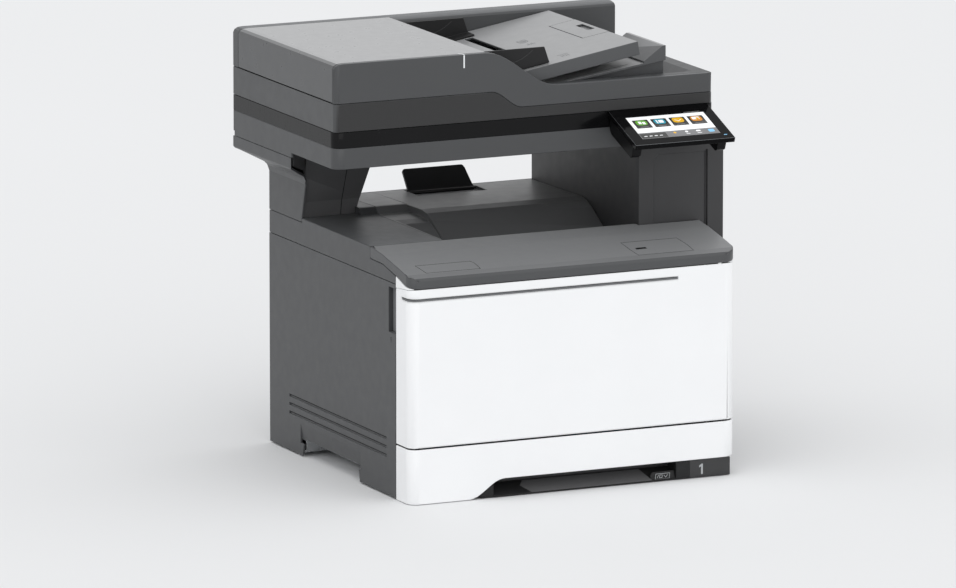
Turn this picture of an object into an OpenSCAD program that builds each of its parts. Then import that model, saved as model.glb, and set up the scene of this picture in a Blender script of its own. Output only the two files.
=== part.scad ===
// Desktop multifunction copier: a printer body with a paper cassette, a side column and a tower
// that carry a flatbed scanner, and a document feeder hinged on top of the scanner.
// Machine coordinates: x from the printer's centre plane, y back from the front face, z up from
// the table. in_frame() moves them so that the origin is at the middle of the whole footprint.

/* [Printer body] */
// Width across the printer's side covers
body_w = 442; // [440:1:444]
// Depth from the front face to the rear cover's outer face
body_d = 420; // [418:1:421]
// Wall thickness of the outer covers
wall = 2.5; // [2:0.1:2.6]
// Seam between neighbouring covers
seam = 0.4; // [0.3:0.05:0.5]
// Radius of the front left corner
corner_l = 13; // [10:1:16]
// Radius of the front right corner
corner_r = 18; // [12:1:20]
// How far the front panels wrap round the sides
wing = 41; // [38:1:41]
// Height of the shoulder on top of the printer
shoulder_z = 301; // [300:0.5:302]
// Height of the output plateau at its rear edge
plateau_z = 306.8; // [306:0.1:308]

/* [Front door] */
// Lower edge of the front door
door_z0 = 70.2; // [70:0.1:71]
// Top edge of the front door
door_z1 = 265.9; // [264:0.1:266]
// Distance of the door's hinge behind its face
door_hinge_y = 7; // [6.5:0.1:7]
// Height of the door's hinge
door_hinge_z = 77; // [77:0.1:78]

/* [Cassette] */
// Top edge of the cassette's front panel
cassette_z1 = 68.4; // [66:0.1:68.5]
// Height of the hand notch under the front panel
notch_z = 23.5; // [20:0.5:25]
// Half width of the cassette's tray
tray_half = 184; // [180:1:184]
// Length of the tray behind the front panel
tray_len = 340; // [336:1:346]
// Width of the stored sheets
sheet_w = 210; // [208:1:212]

/* [Rollers] */
// Radius of the roller shafts
shaft_r = 4; // [3:0.5:5]
// Radial clearance of a shaft in its bearing
bearing_gap = 0.05; // [0.02:0.01:0.1]
// Radius of the print drums
drum_r = 12; // [10:0.5:12]
// Distance between neighbouring drums
drum_pitch = 50; // [46:1:52]

/* [Scanner] */
// Left end of the scanner and the document feeder
scan_x0 = -270.5; // [-272:0.5:-268]
// Right end of the scanner
scan_x1 = 243; // [240:1:244]
// Front face of the scanner and the document feeder
scan_y0 = 110; // [110:0.5:112]
// Rear face of the scanner and the document feeder
scan_y1 = 417.5; // [416:0.5:418]
// Underside of the scanner
scan_z0 = 399.5; // [399:0.5:401]
// Joint between the scanner's tub and its dark top frame
scan_z1 = 425.4; // [424:0.1:426]
// Top of the scanner's dark frame
scan_z2 = 445; // [444:0.5:445]

/* [Document feeder] */
// Right end of the document feeder
feeder_x1 = 240; // [238:1:241]
// Underside of the document feeder
feeder_z0 = 445.5; // [445.5:0.1:446]
// Seam between the feeder's base and its upper covers
feeder_z1 = 480.1; // [479:0.1:481]
// Top of the document feeder
feeder_z2 = 529.5; // [528:0.5:531]
// Slope of the input tray in degrees
tray_slope = 9.65; // [8:0.05:10]

/* [Touch panel] */
// Slope of the panel at rest in degrees
panel_tilt = 20.7; // [18:0.1:24]
// Width of the touch panel
panel_w = 135.3; // [130:0.1:138]
// Length of the touch panel along its slope
panel_len = 85.4; // [80:0.1:85.4]
// Left edge of the touch panel
panel_x0 = 96.3; // [94:0.1:98]

/* [Hidden] */
half_w = body_w / 2;
plateau_top = plateau_z + 3;    // height of the plateau's front edge
tower_x0 = 138;                 // inner wall of the tower
tower_x1 = 254;                 // outer wall of the tower
tower_y0 = 108;                 // front wall of the tower
depth = 425.1;                  // full depth with the raised paper stop
frame_x = -(scan_x0 + tower_x1) / 2;
frame_y = -depth / 2;
cover_y0 = wing + 1;            // front edge of the side covers
cover_y1 = body_d - wall - 0.1; // rear edge of what stands in front of the rear cover
cover_z0 = 2;                   // lower edge of the side covers
cover_z1 = 266.6;               // seam between lower and upper side covers
lid_y1 = 115.4;                 // rear edge of the front lid
frame_in = 203;                 // inner face of the steel side frames
frame_t = 2;                    // thickness of the side frames
shaft_end = frame_in + frame_t + 1;
bin_x = -124.9;                 // left edge of the output bin
ledge_x = -82;                  // where the bin's low rear ledge ends
drum_y0 = 120;
drum_z = 148.6;
belt_y0 = 90;
belt_y1 = 300;
belt_z = drum_z + drum_r + 0.3 + 11.1;
pick_y = 40;
pick_z = 74;
heat_y = 58;
heat_z = 226;
fuser_r = 13;
press_y = heat_y + 2 * fuser_r + 0.6;
exit_y = 96;
exit_z = 279;
stop_y = 402;                   // hinge line of the paper stop
stop_z = 304.6;
stop_x0 = -38.6;
stop_x1 = 51;
stop_l = 34;                    // length of the paper stop
stop_open = 128;                // angle between the stop's folded and raised positions
guide_x = sheet_w / 2 + 0.5;
rim_z = 483;                    // top of the feeder's rim
box_edge_z = 524.6;             // front top edge of the rear cover behind the input tray
feeder_roll_x = -88;
feeder_roll_z = 503;
feeder_r = 6.5;                 // radius of the feeder's front left corner
feeder_seam_y = 117;            // seam between the feeder's front cover and its jam cover
feeder_rear_y = 400.5;          // seam between the jam cover and the rear cover
feeder_box_y = 387;             // front of the rear cover behind the input tray
rim_y = 130;                    // rear edge of the feeder's front rim
rim_x = 221;                    // left edge of the feeder's right rim
rear_r = 2;                     // radius of the scanner's and feeder's rear corners
jam_x1 = -66;                   // right edge of the jam cover
tray_x0 = -58;                  // left end of the input tray
tray_z0 = 490.6;
tray_l = 208;
tray_y0 = 130;
tray_y1 = 386;
pocket_x0 = 171.5;              // pocket of the tray extension, along the tray
pocket_y0 = 212;
pocket_y1 = 310;
hinge_y = 419.4;                // hinge line of the document feeder
hinge_z = 449;
hinge_x = 150;
tilt_y = 97;                    // hinge line of the touch panel
tilt_z = 426.9;
round_fn = 64;
fine_fn = 32;

// ---- placing and basic shapes ----

module in_frame() translate([frame_x, frame_y, 0]) children();

// Box between two x, two y and two z planes
module block(x0, x1, y0, y1, z0, z1) {
    translate([x0, y0, z0]) cube([x1 - x0, y1 - y0, z1 - z0]);
}

// Outline in y and z, extruded from x0 to x1
module along_x(x0, x1, pts) {
    translate([x0, 0, 0]) rotate([90, 0, 90]) linear_extrude(x1 - x0) polygon(pts);
}

// Outline in x and z, extruded from y0 to y1
module along_y(y0, y1, pts) {
    translate([0, y1, 0]) rotate([90, 0, 0]) linear_extrude(y1 - y0) polygon(pts);
}

// Outline in x and y, extruded from z0 to z1
module along_z(z0, z1, pts) {
    translate([0, 0, z0]) linear_extrude(z1 - z0) polygon(pts);
}

module rod_x(x0, x1, y, z, r, fn = round_fn) {
    translate([x0, y, z]) rotate([0, 90, 0]) cylinder(r = r, h = x1 - x0, $fn = fn);
}

module rod_y(y0, y1, x, z, r, fn = round_fn) {
    translate([x, y0, z]) rotate([-90, 0, 0]) cylinder(r = r, h = y1 - y0, $fn = fn);
}

// What lies outside an arc of radius r at a corner; sx and sy are 1 to flip it
module corner_waste(x, y, r, sx, sy) {
    translate([x, y]) mirror([sx, 0]) mirror([0, sy]) difference() {
        translate([-1, -1]) square(r + 1);
        translate([r, r]) circle(r, $fn = round_fn);
    }
}

// Plan outline with its own radius at each corner: front left, front right, rear
module plan(x0, x1, y0, y1, rl, rr, rb) {
    difference() {
        translate([x0, y0]) square([x1 - x0, y1 - y0]);
        corner_waste(x0, y0, rl, 0, 0);
        corner_waste(x1, y0, rr, 1, 0);
        corner_waste(x0, y1, rb, 0, 1);
        corner_waste(x1, y1, rb, 1, 1);
    }
}

// Wall that follows the printer's front and wraps round both sides
module front_skin(z0, z1) {
    translate([0, 0, z0]) linear_extrude(z1 - z0) difference() {
        plan(-half_w, half_w, 0, lid_y1, corner_l, corner_r, 0.01);
        plan(-half_w + wall, half_w - wall, wall, lid_y1 + 5, corner_l - wall, corner_r - wall, 0.01);
    }
}

// Smooth step from a to b over t in 0..1
function blend(a, b, t) = a + (b - a) * (1 - cos(180 * t)) / 2;

// ---- printer: chassis and covers ----

// Room for the hands that lift the machine, one on each side
hold_y0 = 148;
hold_y1 = 320;
hold_z = 24;
channel_x = 215.7;
// Depth of the finger grip behind the front door's wing
grip_depth = 6;

module base_pan() in_frame() color([0.16, 0.16, 0.17]) {
    block(-186, 186, 46, 412, 5, 8);
    for (s = [0, 1]) mirror([s, 0, 0]) {
        block(186, 217, 46, hold_y0 - 3, 5, 8);
        block(186, 217, hold_y1 + 3, 412, 5, 8);
        block(186, channel_x, hold_y0 - 3, hold_y1 + 3, hold_z, hold_z + 3);
        block(186, 188.5, hold_y0 - 3, hold_y1 + 3, 8, hold_z);
        block(188.5, channel_x, hold_y0 - 3, hold_y0, 8, hold_z);
        block(188.5, channel_x, hold_y1, hold_y1 + 3, 8, hold_z);
    }
}

module feet() in_frame() color([0.1, 0.1, 0.1])
    for (x = [-196, 196], y = [72, 385]) translate([x, y, 0]) {
        cylinder(r = 10, h = 5, $fn = round_fn);
    }

// Bearing positions of every shaft that runs between the side frames: y and z
bearings = [[pick_y, pick_z], [drum_y0, drum_z], [drum_y0 + drum_pitch, drum_z],
    [drum_y0 + 2 * drum_pitch, drum_z], [drum_y0 + 3 * drum_pitch, drum_z], [belt_y0, belt_z],
    [heat_y, heat_z], [press_y, heat_z], [exit_y, exit_z]];

module side_frames() in_frame() color([0.62, 0.64, 0.66])
    for (s = [0, 1]) mirror([s, 0, 0]) difference() {
        union() {
            rod_x(192, 200, door_hinge_y, door_hinge_z, 3.8);
            block(192, 200, door_hinge_y, 28, door_hinge_z - 3.4, door_hinge_z + 3.4);
            block(192, frame_in + frame_t, 24, 28, door_hinge_z - 3.4, door_hinge_z + 3.4);
            along_x(frame_in, frame_in + frame_t, [[24, 62], [24, 250], [84, 258], [84, 288], [106.5, 288],
            [106.5, 258], [400, 258], [400, hold_z + 3], [52, hold_z + 3], [52, 62]]);
        }
        rod_x(191, 201, door_hinge_y, door_hinge_z, 2 + bearing_gap, fine_fn);
        for (b = bearings) rod_x(frame_in - 1, frame_in + frame_t + 1, b[0], b[1], shaft_r + bearing_gap);
    }

// Side cover with grooves, the hand notch and its shallow panel; mirrored for the right side
module lower_cover_shape() difference() {
    union() {
        along_x(-half_w, -half_w + wall, [[cover_y0, cover_z0], [hold_y0, cover_z0],
            [hold_y0 + 4, 19], [hold_y0 + 8, 22.5], [hold_y1 - 8, 22.5], [hold_y1 - 4, 19],
            [hold_y1, cover_z0], [body_d, cover_z0], [body_d, cover_z1], [cover_y0, cover_z1]]);
        block(-half_w + wall, -half_w + grip_depth + 2, cover_y0, cover_y0 + 22, 201, 264);
        block(-half_w + wall, -half_w + 5, hold_y0 - 5, hold_y1 + 9, 22.5, 44);
    }
    block(-half_w - 1, -half_w + grip_depth, cover_y0 - 1, cover_y0 + 20, 205, 261);
    for (z = [50, 60.7, 71.4]) block(-half_w - 1, -half_w + 1.7, 69, 360, z - 1.7, z + 1.7);
    // panel above the hand notch, sloping inwards to the notch
    along_y(hold_y0 - 2, hold_y1 + 6, [[-half_w - 1, 41.4], [-half_w, 41], [-half_w + 3, 17],
        [-half_w - 1, 17]]);
}

// Rise from the shoulder to the plateau and its fall to the rear, in y and z, lowered by d
step_x0 = -147.2;
function plateau_line(d) = [[300, shoulder_z - d], [303, shoulder_z + 0.6 - d],
    [312, plateau_top - 0.6 - d], [315, plateau_top - d], [cover_y1, plateau_z - d]];

module left_lower_cover() in_frame() color([0.36, 0.37, 0.38]) lower_cover_shape();

module left_upper_cover() in_frame() color([0.36, 0.37, 0.38]) {
    along_x(-half_w, -half_w + wall, [[cover_y0, cover_z1 + seam], [body_d, cover_z1 + seam],
        [body_d, 295.7], [321, 295.7], [321, shoulder_z], [lid_y1 + seam, shoulder_z],
        [lid_y1 + seam, 286.2], [112, 285.6], [80, 285.2], [cover_y0, 276.9]]);
    along_z(shoulder_z - wall, shoulder_z, [[-half_w + wall, lid_y1 + seam], [bin_x - seam, lid_y1 + seam],
        [bin_x - seam, 300], [step_x0, 300], [step_x0, cover_y1], [-half_w + wall, cover_y1]]);
    // rise to the plateau, right of the column's foot
    along_x(step_x0, bin_x - seam, concat(plateau_line(0), [for (i = [4 : -1 : 0]) plateau_line(wall)[i]]));
    along_x(step_x0, step_x0 + 1, concat(plateau_line(0), [[cover_y1, shoulder_z - wall],
        [300, shoulder_z - wall]]));
}

module right_cover() in_frame() color([0.36, 0.37, 0.38]) {
    mirror([1, 0, 0]) lower_cover_shape();
    along_x(half_w - wall, half_w, [[cover_y0, cover_z1], [cover_y0, 276.9], [80, 285.2],
        [tower_y0 - 1, 285.6], [tower_y0 - 1, cover_z1]]);
}

rear_win_x = 150;
rear_win_z0 = 89.4;
rear_win_z1 = 281;
rear_hinge_y = body_d - 5.4;
rear_hinge_z = 96.5;

module rear_cover() in_frame() color([0.36, 0.37, 0.38]) {
    difference() {
        along_y(body_d - wall, body_d, [[-half_w + wall + 0.1, 8], [-half_w + wall + 0.1, shoulder_z],
            [step_x0, shoulder_z], [step_x0, plateau_z], [tower_x0 - seam, plateau_z],
            [half_w - wall - 0.1, plateau_z], [half_w - wall - 0.1, 8]]);
        block(-rear_win_x, rear_win_x, body_d - wall - 1, body_d + 1, rear_win_z0, rear_win_z1);
        block(149, 181, body_d - wall - 1, body_d + 1, 29, 53);
        block(121.5, 138.5, body_d - wall - 1, body_d + 1, 29, 53);
        block(-200, -166, body_d - wall - 1, body_d + 1, 60, 170);
        for (i = [0 : 7]) block(166, 206, body_d - wall - 1, body_d + 1, 200 + 8 * i, 203.5 + 8 * i);
    }
    difference() {
        block(-201, -165, 404, body_d - wall, 58, 172);
        block(-199, -167, 406, body_d - wall + 1, 60, 170);
    }
    for (s = [0, 1]) mirror([s, 0, 0]) difference() {
        union() {
            block(142.5, 148.5, rear_hinge_y - 6, rear_hinge_y, rear_hinge_z - 2.4, rear_hinge_z + 2.4);
            rod_x(142.5, 148.5, rear_hinge_y, rear_hinge_z, 2.8);
            block(142.5, 154, rear_hinge_y - 8, rear_hinge_y - 6, rear_hinge_z - 3, rear_hinge_z + 3);
            block(151, 154, rear_hinge_y - 8, body_d - wall, rear_hinge_z - 3, rear_hinge_z + 3);
        }
        rod_x(142, 149, rear_hinge_y, rear_hinge_z, 1.5 + bearing_gap, fine_fn);
    }
}

module rear_door() in_frame() color([0.34, 0.35, 0.36]) {
    along_x(-rear_win_x + 0.8, rear_win_x - 0.8, [[body_d + 0.6, 93.4], [body_d + 0.6, 280.2],
        [body_d - wall + 0.6, 280.2], [body_d - wall + 0.6, 92.2], [body_d - 1, 91.6],
        [body_d, 92.2]]);
    for (s = [0, 1]) mirror([s, 0, 0]) {
        block(138.5, 141.8, rear_hinge_y, body_d - wall + 0.6, rear_hinge_z - 3, rear_hinge_z + 3);
        rod_x(138.5, 141.8, rear_hinge_y, rear_hinge_z, 3);
        rod_x(141.8, 148.5, rear_hinge_y, rear_hinge_z, 1.5, fine_fn);
    }
    for (x = [-90, 0, 90]) block(x - 1.2, x + 1.2, body_d - wall - 9, body_d - wall + 0.6, 110, 265);
}

// Top line of the front lid in y and z, lowered by d and moved back by b
function lid_top(d, b) = [[b, 276.4 - d], [2.4 + b * 0.6, 279.6 - d], [11, 283 - d], [30, 287.2 - d],
    [80, 296.8 - d], [112, 301 - d], [lid_y1 + (b > 0 ? 1 : 0), 301.2 - d]];

module front_lid() in_frame() color([0.45, 0.46, 0.47]) difference() {
    union() {
        intersection() {
            translate([0, 0, 262]) linear_extrude(50)
                plan(-half_w, half_w, 0, lid_y1, corner_l, corner_r, 0.01);
            difference() {
                along_x(-half_w - 1, half_w + 1, concat(lid_top(0, 0), [[lid_y1, 286.6], [112, 286],
                    [80, 285.6], [wing, 277.3], [17, 270.3], [0, 266.5]]));
                translate([0, 0, 260]) linear_extrude(50)
                    intersection() {
                        plan(-half_w + wall, half_w - wall, wall, lid_y1 + 5, corner_l - wall,
                            corner_r - wall, 0.01);
                        square([body_w + 50, body_w], center = true);
                    }
            }
        }
        // top skin
        intersection() {
            translate([0, 0, 262]) linear_extrude(50)
                plan(-half_w + wall, half_w - wall, wall, lid_y1, corner_l - wall, corner_r - wall, 0.01);
            difference() {
                along_x(-half_w, half_w, concat(lid_top(0, 0), [[lid_y1, 262], [0, 262]]));
                along_x(-half_w - 1, half_w + 1,
                    concat(lid_top(wall, wall), [[lid_y1 + 1, 261], [wall, 261]]));
            }
        }
        // rear wall above the output bin, with the exit slot
        difference() {
            block(bin_x, tower_x0 - seam, lid_y1 - wall, lid_y1, 262, 300);
            block(-112, 112, lid_y1 - wall - 1, lid_y1 + 1, 268, 290);
        }
    }
    block(tower_x0 - seam, half_w + 5, tower_y0 - seam, lid_y1 + 5, 255, 320);
    // socket for a memory stick
    translate([104, 31, 286.9]) rotate([atan2(10, 50), 0, 0]) block(-6.5, 6.5, -2, 2, -5, 5);
}

// Paper surface of the output bin in y and z, lowered by d
function bin_line(d) = concat([[118, 262 - d], [150, 266.5 - d]],
    [for (i = [0 : 6]) [175 + 16 * i, blend(273, plateau_top, i / 6) - d]], [[cover_y1, plateau_z - d]]);

// The same at the bin's left rear, where a low ledge runs on to the shoulder
function ledge_line(d) = concat([[118, 262 - d], [150, 266.5 - d]],
    [for (i = [0 : 5]) [175 + 17 * i, blend(273, shoulder_z, i / 5) - d]], plateau_line(d));

module output_bin() in_frame() color([0.3, 0.3, 0.31]) difference() {
    union() {
        along_x(ledge_x, tower_x0 - seam, concat(bin_line(0), [for (i = [9 : -1 : 0]) bin_line(3)[i]]));
        along_x(bin_x, ledge_x, concat(ledge_line(0), [for (i = [12 : -1 : 0]) ledge_line(3)[i]]));
        // left wall up to the shoulder
        difference() {
            block(bin_x, bin_x + wall, 118, 262, 256, shoulder_z);
            along_x(bin_x - 1, bin_x + wall + 1, concat(ledge_line(1), [[cover_y1, 250], [118, 250]]));
        }
        // face between the low ledge and the plateau
        difference() {
            block(ledge_x, ledge_x + wall, 200, 314, 270, plateau_top);
            along_x(ledge_x - 1, ledge_x + wall + 1, concat(bin_line(1), [[cover_y1, 330], [118, 330]]));
        }
        block(stop_x0 - 8, stop_x1 + 8, stop_y - stop_l - 4, cover_y1, 298, plateau_z - 1);
    }
    // pocket that the paper stop folds into
    block(stop_x0 - 2, stop_x1 + 2, stop_y - stop_l - 1, stop_y + 9, 302.9, plateau_top + 1);
    rod_x(stop_x0 - 2, stop_x1 + 2, stop_y, stop_z, 3.2, fine_fn);
    block(stop_x0 - 2, stop_x1 + 2, stop_y - 3, stop_y + 9, 301, 303);
    rod_x(stop_x0 - 6, stop_x1 + 6, stop_y, stop_z, 1.2 + bearing_gap, fine_fn);
}

module paper_stop() in_frame() color([0.05, 0.05, 0.055])
    translate([0, stop_y, stop_z]) rotate([-stop_open, 0, 0]) {
        translate([0, 0, -1.2]) linear_extrude(4) difference() {
            polygon([[stop_x0, 0], [stop_x1, 0], [stop_x1 - 5, -stop_l], [stop_x0, -stop_l]]);
            translate([stop_x0, -stop_l]) corner_waste(0, 0, 4, 0, 0);
            translate([stop_x1 - 5, -stop_l]) corner_waste(0, 0, 4, 1, 0);
        }
        rod_x(stop_x0, stop_x1, 0, 0, 2.5, fine_fn);
        rod_x(stop_x0 - 5, stop_x1 + 5, 0, 0, 1.2, fine_fn);
    }

// ---- column and tower that carry the scanner ----

module left_column_cover() in_frame() color([0.36, 0.37, 0.38]) difference() {
    along_y(238, body_d, [[-half_w, 296.1], [-half_w, 345], [-half_w - 2.5, 352], [-half_w - 8, 357.5],
        [scan_x0 + 6, 376], [scan_x0 + 2, 377.6], [scan_x0, 380], [scan_x0, 393.2],
        [scan_x0 + wall, 393.2], [scan_x0 + wall, 380.6], [scan_x0 + 6, 379.2],
        [-half_w - 6.5, 360.2], [-half_w, 354.2], [-half_w + wall, 347], [-half_w + wall, 296.1]]);
    along_z(340, 400, [[scan_x0 - 1, 230], [scan_x0 - 1, 240], [-half_w, 307], [-half_w + 4, 312],
        [-half_w + 4, 230]]);
    along_x(-half_w - 1, -half_w + 4, [[230, 290], [321, 290], [321, 301], [307, 354], [230, 354]]);
    block(scan_x0 - 1, -half_w - 3, scan_y1, body_d + 1, 340, 400);
}

module left_column_core() in_frame() color([0.2, 0.2, 0.21]) difference() {
    union() {
        along_y(323, cover_y1, [[-half_w + wall + 0.2, shoulder_z + 0.2], [-147, shoulder_z + 0.2],
            [-132, 354], [-120, scan_z0 - 0.2], [-half_w + wall + 0.2, scan_z0 - 0.2]]);
        intersection() {
            along_y(240, cover_y1, [[-half_w + wall + 0.2, 352], [-half_w + wall + 0.2, scan_z0 - 0.2],
                [scan_x0 + 3.5, scan_z0 - 0.2], [scan_x0 + 3.5, 383], [-half_w - 5, 363.5]]);
            along_z(340, 400, [[scan_x0 + 3.5, 242], [scan_x0 + 3.5, cover_y1],
                [-half_w + wall + 0.2, cover_y1], [-half_w + wall + 0.2, 316]]);
        }
        intersection() {
            along_y(300, 323, [[-half_w + wall + 0.2, 318], [-142, 318], [-132, 354], [-120, scan_z0 - 0.2],
                [-half_w + wall + 0.2, scan_z0 - 0.2]]);
            along_x(-half_w, -100, [[323, 320], [308, scan_z0 - 0.2], [323, scan_z0 - 0.2]]);
        }
    }
    block(-half_w + 8, -156, 328, 397, 306, 394);
    along_x(step_x0 - 0.3, -110, concat(plateau_line(-0.3), [[cover_y1 + 1, plateau_z + 0.3],
        [cover_y1 + 1, 290], [300, 290]]));
}

module tower_shell() in_frame() color([0.3, 0.3, 0.31]) difference() {
    along_y(tower_y0, cover_y1, [[tower_x0, cover_z1 + seam], [tower_x0, scan_z0 - 0.2],
        [tower_x1, scan_z0 - 0.2], [tower_x1, 250], [half_w + 0.4, 236], [half_w + 0.4, cover_z1 + seam]]);
    along_y(tower_y0 + 5, cover_y1 - wall, [[tower_x0 + wall, 261], [tower_x0 + wall, scan_z0 - 2.7],
        [tower_x1 - wall, scan_z0 - 2.7], [tower_x1 - wall, 252], [half_w + 0.3, 238.7],
        [half_w + 0.3, 261]]);
    // shallow panel in the front
    along_y(tower_y0 - 1, tower_y0 + 2.5, [[158.5, 290], [158.5, 380], [164, 386], [229.5, 386],
        [229.5, 290]]);
    block(229.5, 232, tower_y0 - 1, tower_y0 + 3.5, 255, 388);
}

// ---- front door ----

module front_door() in_frame() color([0.94, 0.95, 0.96]) difference() {
    intersection() {
        front_skin(door_z0, door_z1 + 1);
        along_x(-half_w - 1, half_w + 1, [[0, door_z0 + 2], [0.6, door_z0 + 0.6], [2, door_z0],
            [wing, door_z0], [wing, door_z1 - 3.2], [0, door_z1]]);
    }
    // long groove across the top of the door
    translate([0, 0, 250.5]) linear_extrude(4.4) difference() {
        translate([-half_w - 1, -1]) square([half_w + 141, 27]);
        plan(-half_w + 1.4, half_w, 1.4, 60, corner_l - 1.4, corner_r, 0.01);
    }
}

module door_liner() in_frame() color([0.5, 0.51, 0.52]) {
    difference() {
        block(-196, 196, wall, wall + 2.5, 84, 246);
        for (x = [-135, -45, 45, 135]) block(x - 32, x + 32, wall + 1, wall + 3, 100, 232);
    }
    for (s = [0, 1]) mirror([s, 0, 0]) {
        block(186, 190, wall, door_hinge_y, door_hinge_z - 3.8, door_hinge_z + 8);
        rod_x(186, 190, door_hinge_y, door_hinge_z, 3.8);
        rod_x(190, 199, door_hinge_y, door_hinge_z, 2, fine_fn);
        block(186, 190, wall, wall + 2.5, door_hinge_z, 84);
    }
}

// Fixed white wedges between the door's wings and the lid
module door_corner_trims() in_frame() color([0.94, 0.95, 0.96])
    intersection() {
        front_skin(260, 280);
        along_x(-half_w - 1, half_w + 1, [[4, 266], [25, 264.4], [wing, 263.1], [wing, 276.9],
            [17, 269.9], [4, 267.2]]);
    }

// ---- cassette ----

module cassette_front() in_frame() color([0.94, 0.95, 0.96]) difference() {
    intersection() {
        front_skin(0.7, cassette_z1);
        block(-half_w - 1, half_w + 1, -1, wing, 0, 100);
    }
    along_y(-1, corner_r, concat([[-142, -1]],
        [for (i = [0 : 12]) [-142 + 4 * i, blend(0.7, notch_z, i / 12)]],
        [[half_w + 1, notch_z], [half_w + 1, -1]]));
    block(half_w - 2 * wall, half_w + 1, corner_r - 1, wing + 1, -1, notch_z);
}

module cassette_grip() in_frame() color([0.05, 0.05, 0.055]) {
    block(-126, -108, 2.8, 24.6, 1, 22.8);
    block(138, 156.8, 1.2, 24.6, 1, 22.8);
    along_x(-108, 138, [[1.5, 1], [1.5, 2.4], [21, 14.4], [24.6, 14.4], [24.6, 1]]);
}

module cassette_tray() in_frame() color([0.22, 0.22, 0.23]) {
    // front beam, hand recess wall and number block
    block(-tray_half, tray_half, wall + 0.2, 8, 24.2, 60);
    block(-126, 156.8, 24.8, 27.4, 1.2, 24.2);
    block(-126, 156.8, 8, 27.4, 24.2, 26.6);
    block(157, 212, 1.4, 27.4, 1, 23);
    block(-tray_half, -126.4, 8, 27.4, 9.5, 26.6);
    block(157, tray_half, 8, 27.4, 23, 26.6);
    // paper tray
    difference() {
        block(-tray_half, tray_half, 27.4, 8 + tray_len, 9.5, 58);
        block(-tray_half + 3, tray_half - 3, 27.3, 5 + tray_len, 12, 60);
        block(-tray_half + 40, tray_half - 40, tray_len, tray_len + 10, 40, 60);
    }
    block(-tray_half, tray_half, 8, 27.4, 26.6, 30);
    for (x = [-tray_half, tray_half - 3]) block(x, x + 3, 8, 27.4, 30, 58);
}

guide_y0 = 80;
guide_y1 = 268;
module side_guide_left() in_frame() color([0.25, 0.42, 0.62]) {
    block(-guide_x - 3, -guide_x, guide_y0, guide_y1, 12.4, 50);
    block(-guide_x - 34, -guide_x - 3, 150, 166, 12.4, 14.4);
    block(-guide_x - 7, -guide_x - 3, 120, 123, 14.4, 44);
    block(-guide_x - 7, -guide_x - 3, 215, 218, 14.4, 44);
}

module side_guide_right() in_frame() color([0.25, 0.42, 0.62]) mirror([1, 0, 0]) {
    block(-guide_x - 3, -guide_x, guide_y0, guide_y1, 12.4, 50);
    block(-guide_x - 34, -guide_x - 3, 150, 166, 12.4, 14.4);
    block(-guide_x - 7, -guide_x - 3, 120, 123, 14.4, 44);
    block(-guide_x - 7, -guide_x - 3, 215, 218, 14.4, 44);
}

module end_guide() in_frame() color([0.25, 0.42, 0.62]) {
    block(-26, 26, 328, 331, 12.4, 46);
    block(-14, 14, 331, 341, 12.4, 15);
    for (x = [-14, 11]) along_x(x, x + 3, [[331, 15], [341, 15], [331, 40]]);
}

lift_y = 170;
lift_z = 15;
module lift_plate() in_frame() color([0.6, 0.62, 0.64]) {
    block(-66, 66, 32, lift_y, 13.8, 15);
    block(-60, 60, 32, 33.2, 15, 17);
    rod_x(-66, 66, lift_y, lift_z, 1.2, fine_fn);
}

// ---- rollers, optics, toner and fuser ----

// Shaft between the side frames with a roller of radius r over half width w
module roller(y, z, r, w) {
    rod_x(-shaft_end, shaft_end, y, z, shaft_r);
    rod_x(-w, w, y, z, r);
}

module pick_roller() in_frame() color([0.2, 0.2, 0.2]) roller(pick_y, pick_z, 12, 25);

module drum(i) in_frame() color([0.1, 0.35, 0.42]) roller(drum_y0 + drum_pitch * i, drum_z, drum_r, 150);
module drum_black() drum(0);
module drum_cyan() drum(1);
module drum_magenta() drum(2);
module drum_yellow() drum(3);

// Closed outline of the belt in y and z with half height h
module belt_outline(h) {
    translate([belt_y0, belt_z]) circle(h, $fn = round_fn);
    translate([belt_y1, belt_z]) circle(h, $fn = round_fn);
    translate([belt_y0, belt_z - h]) square([belt_y1 - belt_y0, 2 * h]);
}

module transfer_belt() in_frame() color([0.08, 0.08, 0.09])
    translate([-140, 0, 0]) rotate([90, 0, 90]) linear_extrude(280) {
        difference() {
            belt_outline(11.1);
            belt_outline(10.3);
        }
        translate([belt_y1, belt_z]) circle(10.35, $fn = round_fn);
    }

module belt_roller() in_frame() color([0.5, 0.5, 0.52]) roller(belt_y0, belt_z, 10, 138);

module laser_unit() in_frame() color([0.14, 0.14, 0.15]) difference() {
    block(-172, 172, 100, 330, 92, 126);
    for (i = [0 : 3]) translate([0, drum_y0 + drum_pitch * i, 0]) block(-120, 120, -2, 2, 123, 127);
    block(-168, 168, 104, 326, 96, 121);
}

module toner_cartridges() in_frame() color([0.09, 0.09, 0.1])
    for (i = [0 : 3]) {
        x = -174 + 90 * i;
        along_y(120, 330, [[x, 192], [x + 78, 192], [x + 78, 240], [x + 66, 252], [x + 12, 252], [x, 240]]);
        along_y(114, 120, [[x + 8, 198], [x + 70, 198], [x + 70, 236], [x + 60, 244], [x + 18, 244],
            [x + 8, 236]]);
    }

module fuser_housing() in_frame() color([0.17, 0.17, 0.18]) difference() {
    block(-196, 196, 38, 106, 205, 247);
    block(-192, 192, 42, 102, 209, 243);
    block(-120, 120, 66, 77, 200, 250);
    rod_x(-200, 200, heat_y, heat_z, shaft_r + 0.6);
    rod_x(-200, 200, press_y, heat_z, shaft_r + 0.6);
}

module heat_roller() in_frame() color([0.45, 0.2, 0.14]) roller(heat_y, heat_z, fuser_r, 130);
module press_roller() in_frame() color([0.5, 0.3, 0.24]) roller(press_y, heat_z, fuser_r, 130);

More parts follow.
